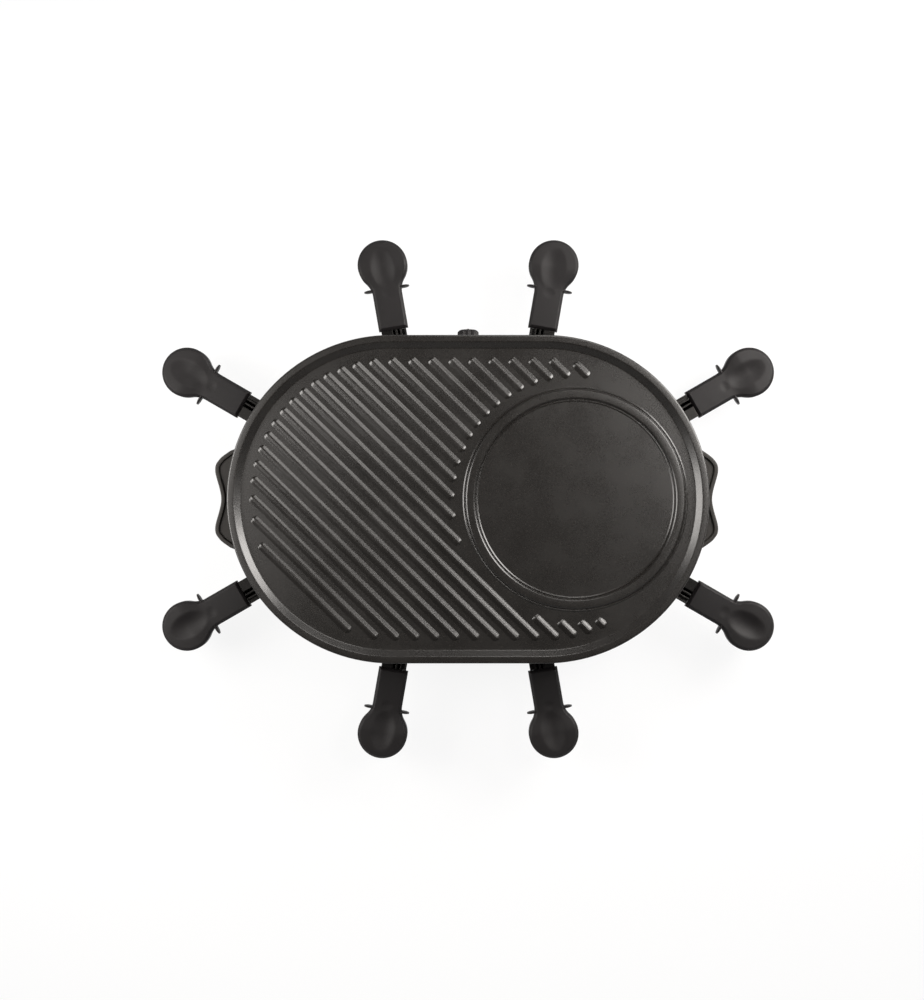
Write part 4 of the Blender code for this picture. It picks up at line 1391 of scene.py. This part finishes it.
def roundedOutline(corners, radius, inset, steps):
    # Corners keep their centres while the outline is drawn in.
    points = []
    for i, corner in enumerate(corners):
        before = (corner - corners[i - 1]).normalized()
        after = (corners[(i + 1) % len(corners)] - corner).normalized()
        turn = before.angle(after)
        centre = corner + (after - before).normalized() * radius / math.cos(turn / 2)
        start = math.atan2(-before.x, before.y)
        points += arcPoints(centre, radius - inset, start, start + turn, steps)
    return points


def panMesh(low, high):
    s = panSizes
    corners = [
        Vector((-s["length"], -s["backWidth"] / 2)),
        Vector((0, -s["frontWidth"] / 2)),
        Vector((0, s["frontWidth"] / 2)),
        Vector((-s["length"], s["backWidth"] / 2)),
    ]
    sheet = s["sheet"]
    wall = s["flange"]
    foot = wall + s["draft"]
    flat = foot + s["bottomBend"] * 1.5
    section = [
        (flat, low, 0),
        (foot, low, s["bottomBend"]),
        (wall, high - sheet, s["flangeBend"]),
        (0, high - sheet, s["lipBend"]),
        (0, high, s["lipBend"]),
        (wall + sheet, high, s["flangeBend"]),
        (foot + sheet, low + sheet, s["bottomBend"]),
        (flat + sheet, low + sheet, 0),
    ]
    loops = []
    for inset, z in softened(section, 5):
        loops.append(atHeight(roundedOutline(corners, s["corner"], inset, 9), z))
    return loftMesh(loops)


def bracketMesh(low, high, side):
    # A comb: a block on one half and fins on the other, with a tongue into the handle.
    s = bracketSizes
    half = s["width"] / 2
    top = low + s["sheet"]
    finStep = (s["width"] - s["blockWidth"]) / s["fins"]
    outline = [(-half, low), (half, low)]
    for fin in range(s["fins"]):
        outer = half - fin * finStep
        outline += [(outer, high), (outer - s["fin"], high)]
        outline += [(outer - s["fin"], top), (outer - finStep, top)]
    outline += [(-half + s["blockWidth"], high), (-half, high)]
    ends = (s["gap"], handleSizes["start"] - s["gap"])
    loops = [[Vector((x, side * y, z)) for y, z in outline] for x in ends]
    comb = loftMesh(loops, sharpAngle=20)
    wide = handleSizes["tongueWidth"] / 2
    back = s["wallGap"] - panSizes["flange"]
    front = handleSizes["start"] + s["tongueReach"]
    far = s["tongueCorner"]
    near = far / 3
    corners = [(back, -wide, near), (front, -wide, far), (front, wide, far), (back, wide, near)]
    tongue = prismMesh(softened(corners, 4, closed=True), low, top)
    work = bmesh.new()
    work.from_mesh(comb)
    work.from_mesh(tongue)
    work.to_mesh(comb)
    work.free()
    comb.shade_smooth()
    comb.set_sharp_from_angle(angle=math.radians(20))
    return comb


def handleOutline(inset):
    # Straight neck, hollow fillet and round end, drawn in by inset.
    s = handleSizes
    steps = s["outlineSteps"]
    neck = s["neckHalfWidth"] - inset
    ball = s["ballRadius"] - inset
    fillet = s["fillet"] + inset
    side = neck + fillet
    back = math.sqrt((ball + fillet) ** 2 - side**2)
    lean = math.atan2(side, back)
    start = s["start"] + inset
    hollow = arcPoints((s["ballX"] - back, side), fillet, -quarterTurn, -lean, steps)
    around = arcPoints((s["ballX"], 0), ball, quarterTurn * 2 - lean, 0, steps * 3)
    neckRun = (hollow[0].x - start) / (steps * 2)
    straight = [Vector((start, neck * i / steps)) for i in range(steps)]
    straight += [Vector((start + neckRun * i, neck)) for i in range(steps * 2)]
    upper = straight + hollow + around[1:]
    lower = [Vector((point.x, -point.y)) for point in reversed(upper[1:-1])]
    return upper + lower


def handleThickness(x):
    s = handleSizes
    walked = min(max((x - s["guardX"]) / (s["ballX"] - s["guardX"]), 0), 1)
    swell = walked * walked * (3 - 2 * walked)
    return s["neckHalfHeight"] + (handleHalfHeight - s["neckHalfHeight"]) * swell


def handleDish(x, y):
    # The thumb rest on the round end, steep where it starts, and the small scoop by the guard.
    s = handleSizes
    along = (x - s["dishX"]) / s["dishLength"]
    if along < 0:
        along *= s["dishFront"]
    reach = along**2 + (y / s["dishWidth"]) ** 2
    depth = s["dishDepth"] * max(0, 1 - reach) ** s["dishPower"]
    scoop = ((x - s["scoopX"]) ** 2 + (y / s["scoopWiden"]) ** 2) / s["scoopRadius"] ** 2
    return depth + s["scoopDepth"] * max(0, 1 - scoop) ** s["scoopPower"]


def handleMesh(middle):
    # The lower half has round edges, and the upper one a chamfer, a crown and the dishes.
    s = handleSizes
    rounding = s["edgeRounding"]
    chamfer = [
        (0, 0, 0),
        (0, s["chamferStart"], s["chamferBends"][0]),
        (s["chamferReach"], rounding, s["chamferBends"][1]),
        (rounding, rounding, 0),
    ]
    lower = arcPoints((rounding, 0), rounding, quarterTurn * 2, quarterTurn, s["roundSteps"])
    loops = []
    for top, edge in ((-1, lower), (1, softened(chamfer, 4))):
        rows = [(point.x, point.y / rounding, 1) for point in edge]
        rows += [(rounding, 1, share) for share in fillShares]
        half = []
        for inset, lift, share in rows:
            loop = []
            for x, y in handleOutline(inset):
                if share < 1:
                    spineX = min(max(x, s["start"] + rounding * 2), s["ballX"])
                    x = spineX + (x - spineX) * share
                    y *= share
                z = handleThickness(x) - rounding + rounding * lift
                if top > 0:
                    z -= (s["crown"] * (y / s["crownReach"]) ** 2 + handleDish(x, y)) * lift
                loop.append(Vector((x, y, middle + top * z)))
            half.append(loop)
        loops += half[::-1] if top < 0 else half
    mesh = loftMesh(loops, sharpAngle=60)
    low = middle - s["neckHalfHeight"] - s["screwRecessDepth"]
    corners = [(s["screwRecess"], 0, 0), (s["screwRecess"], s["screwRecessDepth"] * 2, 0)]
    place = Matrix.Translation((s["screwX"], 0, low))
    recess = turnedMesh(corners, 1, place, s["screwRecessSides"])
    return cutMesh(mesh, [recess], 60)


def guardMesh(middle, halfHeight):
    s = handleSizes
    outline = boxOutline(-s["guardHalfLength"], -halfHeight, s["guardHalfLength"], halfHeight)
    bend = halfHeight * s["guardCornerShare"]
    outline = softened([(*corner, bend) for corner in outline], 6, closed=True)
    thick = s["guardThickness"] / 2
    edge = s["guardEdge"]
    loops = []
    for x, inset in ((-thick, edge), (-thick / 2, 0), (thick / 2, 0), (thick, edge)):
        place = s["guardX"] + x
        shrink = 1 - inset / halfHeight
        loops.append([Vector((place, p.x * shrink, middle + p.y * shrink)) for p in outline])
    return loftMesh(loops, sharpAngle=70)


def screwMesh(low, high):
    s = screwSizes
    headEnd = low + s["headHeight"]
    corners = [
        (s["head"] * 0.4, low, 0),
        (s["head"], low, s["headRounding"]),
        (s["head"], headEnd, s["rounding"]),
        (s["shank"], headEnd, s["rounding"]),
        (s["shank"], high, s["endRounding"]),
        (s["shank"] / 4, high, 0),
    ]
    mesh = turnedMesh(corners, 4, Matrix(), s["sides"])
    reach = s["head"] * s["slotShare"]
    half = s["slotWidth"] / 2
    slots = []
    for x, y in ((reach, half), (half, reach)):
        outline = boxOutline(-x, -y, x, y)
        slots.append(prismMesh(outline, low - s["slotDepth"], low + s["slotDepth"]))
    mesh = cutMesh(mesh, slots)
    mesh.transform(Matrix.Translation((handleSizes["screwX"], 0, 0)))
    return mesh


def makePans():
    guardHalfHeight = handleSizes["neckHalfHeight"] - handleSizes["guardDrop"]
    pan = panMesh(*levels("pan_1"))
    handle = handleMesh(handleMiddle)
    guard = guardMesh(handleMiddle, guardHalfHeight)
    screw = screwMesh(*levels("pan_handle_screw_1"))
    brackets = {side: bracketMesh(*levels("pan_bracket_1"), side) for side in (-1, 1)}
    for number, place, start in panFrames():
        bracket = brackets[1 if start.x * start.y > 0 else -1]
        parts = [
            ("pan_dish", pan, panCoating, "pan", 0),
            ("bracket_comb", bracket, bracketSteel, "pan_bracket", bracketSizes["rounding"]),
            ("handle_moulded", handle, handlePlastic, "pan_handle", 0),
            ("finger_guard", guard, handlePlastic, None, 0),
            ("handle_screw", screw, brightSteel, "pan_handle_screw", 0),
        ]
        for name, shape, look, node, bevel in parts:
            mesh = shape.copy()
            mesh.transform(place)
            node = node and f"{node}_{number}"
            body = f"pan_{number}_unit"
            addPiece(f"{name}_{number}", mesh, look, node, body=body, bevel=bevel)


makePans()
print("pans made")

# Nodes whose shape is right as it is take a finish only

clips = [f"element_clip_{number}" for number in range(1, 5)]
bolts = ["post_bolt_left", "post_bolt_right"]
keptNodes = [
    (brightSteel, [*clips, *bolts, "thermostat_shaft"]),
    (ceramic, ["thermostat_body", "terminal_block"]),
    (wireSleeve, ["supply_wire", "switched_wire"]),
]
for look, nodeNames in keptNodes:
    for nodeName in nodeNames:
        materials = frame["nodes"][nodeName].data.materials
        materials.clear()
        materials.append(look)
print("frame nodes finished")

# Floor, light and camera

stageSizes = {
    "sweep": [(6.0, 0), (9.0, 0.1), (11.0, 0.7), (12.0, 2.0), (12.3, 4.0)],
    "sweepSides": 64,
    "floorColour": (0.86, 0.86, 0.86),
    "floorRoughness": 0.9,
    "floorShine": 0.1,
    "whiteShare": 0.88,
    "worldStrength": 0.14,
}
lamps = {
    "right": {"place": (0.57, 0.28, 0.47), "size": (0.36, 0.42), "power": 8.0},
    "left": {"place": (-0.60, 0.03, 0.49), "size": (0.40, 0.38), "power": 5.6},
    "corner": {"place": (0.16, 0.58, 0.70), "size": (0.34, 0.34), "power": 2.5},
    "right_high": {"place": (0.66, 0.26, 1.55), "size": (0.46, 0.44), "power": 6.4},
    "left_high": {"place": (-0.61, 0.09, 1.55), "size": (0.42, 0.46), "power": 2.4},
}
lampColour = (1.0, 0.965, 0.93)
cameraSizes = {
    "distance": 1.5,
    "lens": 60,
    "longSidePixels": 1000,
    "middlePixel": (462, 500),
    "platePixel": (468.1, 499.2),
}


def makeFloor():
    s = stageSizes
    sides = s["sweepSides"]
    rings = [atHeight(circleOutline(reach, sides), up) for reach, up in s["sweep"]]
    corners = [tuple(point) for ring in rings for point in ring]
    faces = [tuple(range(sides))]
    for start in range(0, len(corners) - sides, sides):
        for i in range(sides):
            after = (i + 1) % sides
            faces.append((start + i, start + sides + i, start + sides + after, start + after))
    mesh = bpy.data.meshes.new("floor")
    mesh.from_pydata(corners, [], faces)
    mesh.shade_smooth()
    floor = bpy.data.objects.new("floor", mesh)
    scene.collection.objects.link(floor)
    shine = s["floorShine"]
    finish = Finish("pale_floor", s["floorColour"], s["floorRoughness"], Specular_IOR_Level=shine)
    mesh.materials.append(finish.material)
    rays = ("Is Camera Ray", "Is Glossy Ray", "Is Transmission Ray")
    seen, mirrored, through = (finish.add("ShaderNodeLightPath", output=ray) for ray in rays)
    share = seen.above(mirrored).above(through) * s["whiteShare"]
    white = finish.add("ShaderNodeEmission", None, {"Color": (1, 1, 1, 1), "Strength": 1.0})
    painted = Wire(finish, finish.shader.outputs["BSDF"])
    both = finish.add("ShaderNodeMixShader", None, {0: share, 1: painted, 2: white})
    finish.tree.links.new(both.socket, finish.tree.nodes["Material Output"].inputs["Surface"])


def makeLamps():
    for name, lamp in lamps.items():
        data = bpy.data.lights.new(f"{name}_softbox", "AREA")
        data.shape = "RECTANGLE"
        data.size, data.size_y = lamp["size"]
        data.energy = lamp["power"]
        data.color = lampColour
        softbox = bpy.data.objects.new(f"{name}_softbox", data)
        softbox.location = lamp["place"]
        aim = Vector((0, 0, plateHigh.z)) - softbox.location
        softbox.rotation_euler = aim.to_track_quat("-Z", "Y").to_euler()
        scene.collection.objects.link(softbox)


def makeWorld():
    world = bpy.data.worlds.new("studio")
    world.use_nodes = True
    background = world.node_tree.nodes["Background"]
    background.inputs["Color"].default_value = (1, 1, 1, 1)
    background.inputs["Strength"].default_value = stageSizes["worldStrength"]
    scene.world = world


def makeCamera():
    s = cameraSizes
    data = bpy.data.cameras.new("camera")
    data.lens = s["lens"]
    across = s["middlePixel"][0] - s["platePixel"][0]
    up = s["platePixel"][1] - s["middlePixel"][1]
    data.shift_x = across / s["longSidePixels"]
    data.shift_y = up / s["longSidePixels"]
    camera = bpy.data.objects.new("camera", data)
    camera.location = (0, 0, plateHigh.z + s["distance"])
    scene.collection.objects.link(camera)
    scene.camera = camera


makeFloor()
makeLamps()
makeWorld()
makeCamera()
scene.view_settings.view_transform = "Standard"
print("stage set")
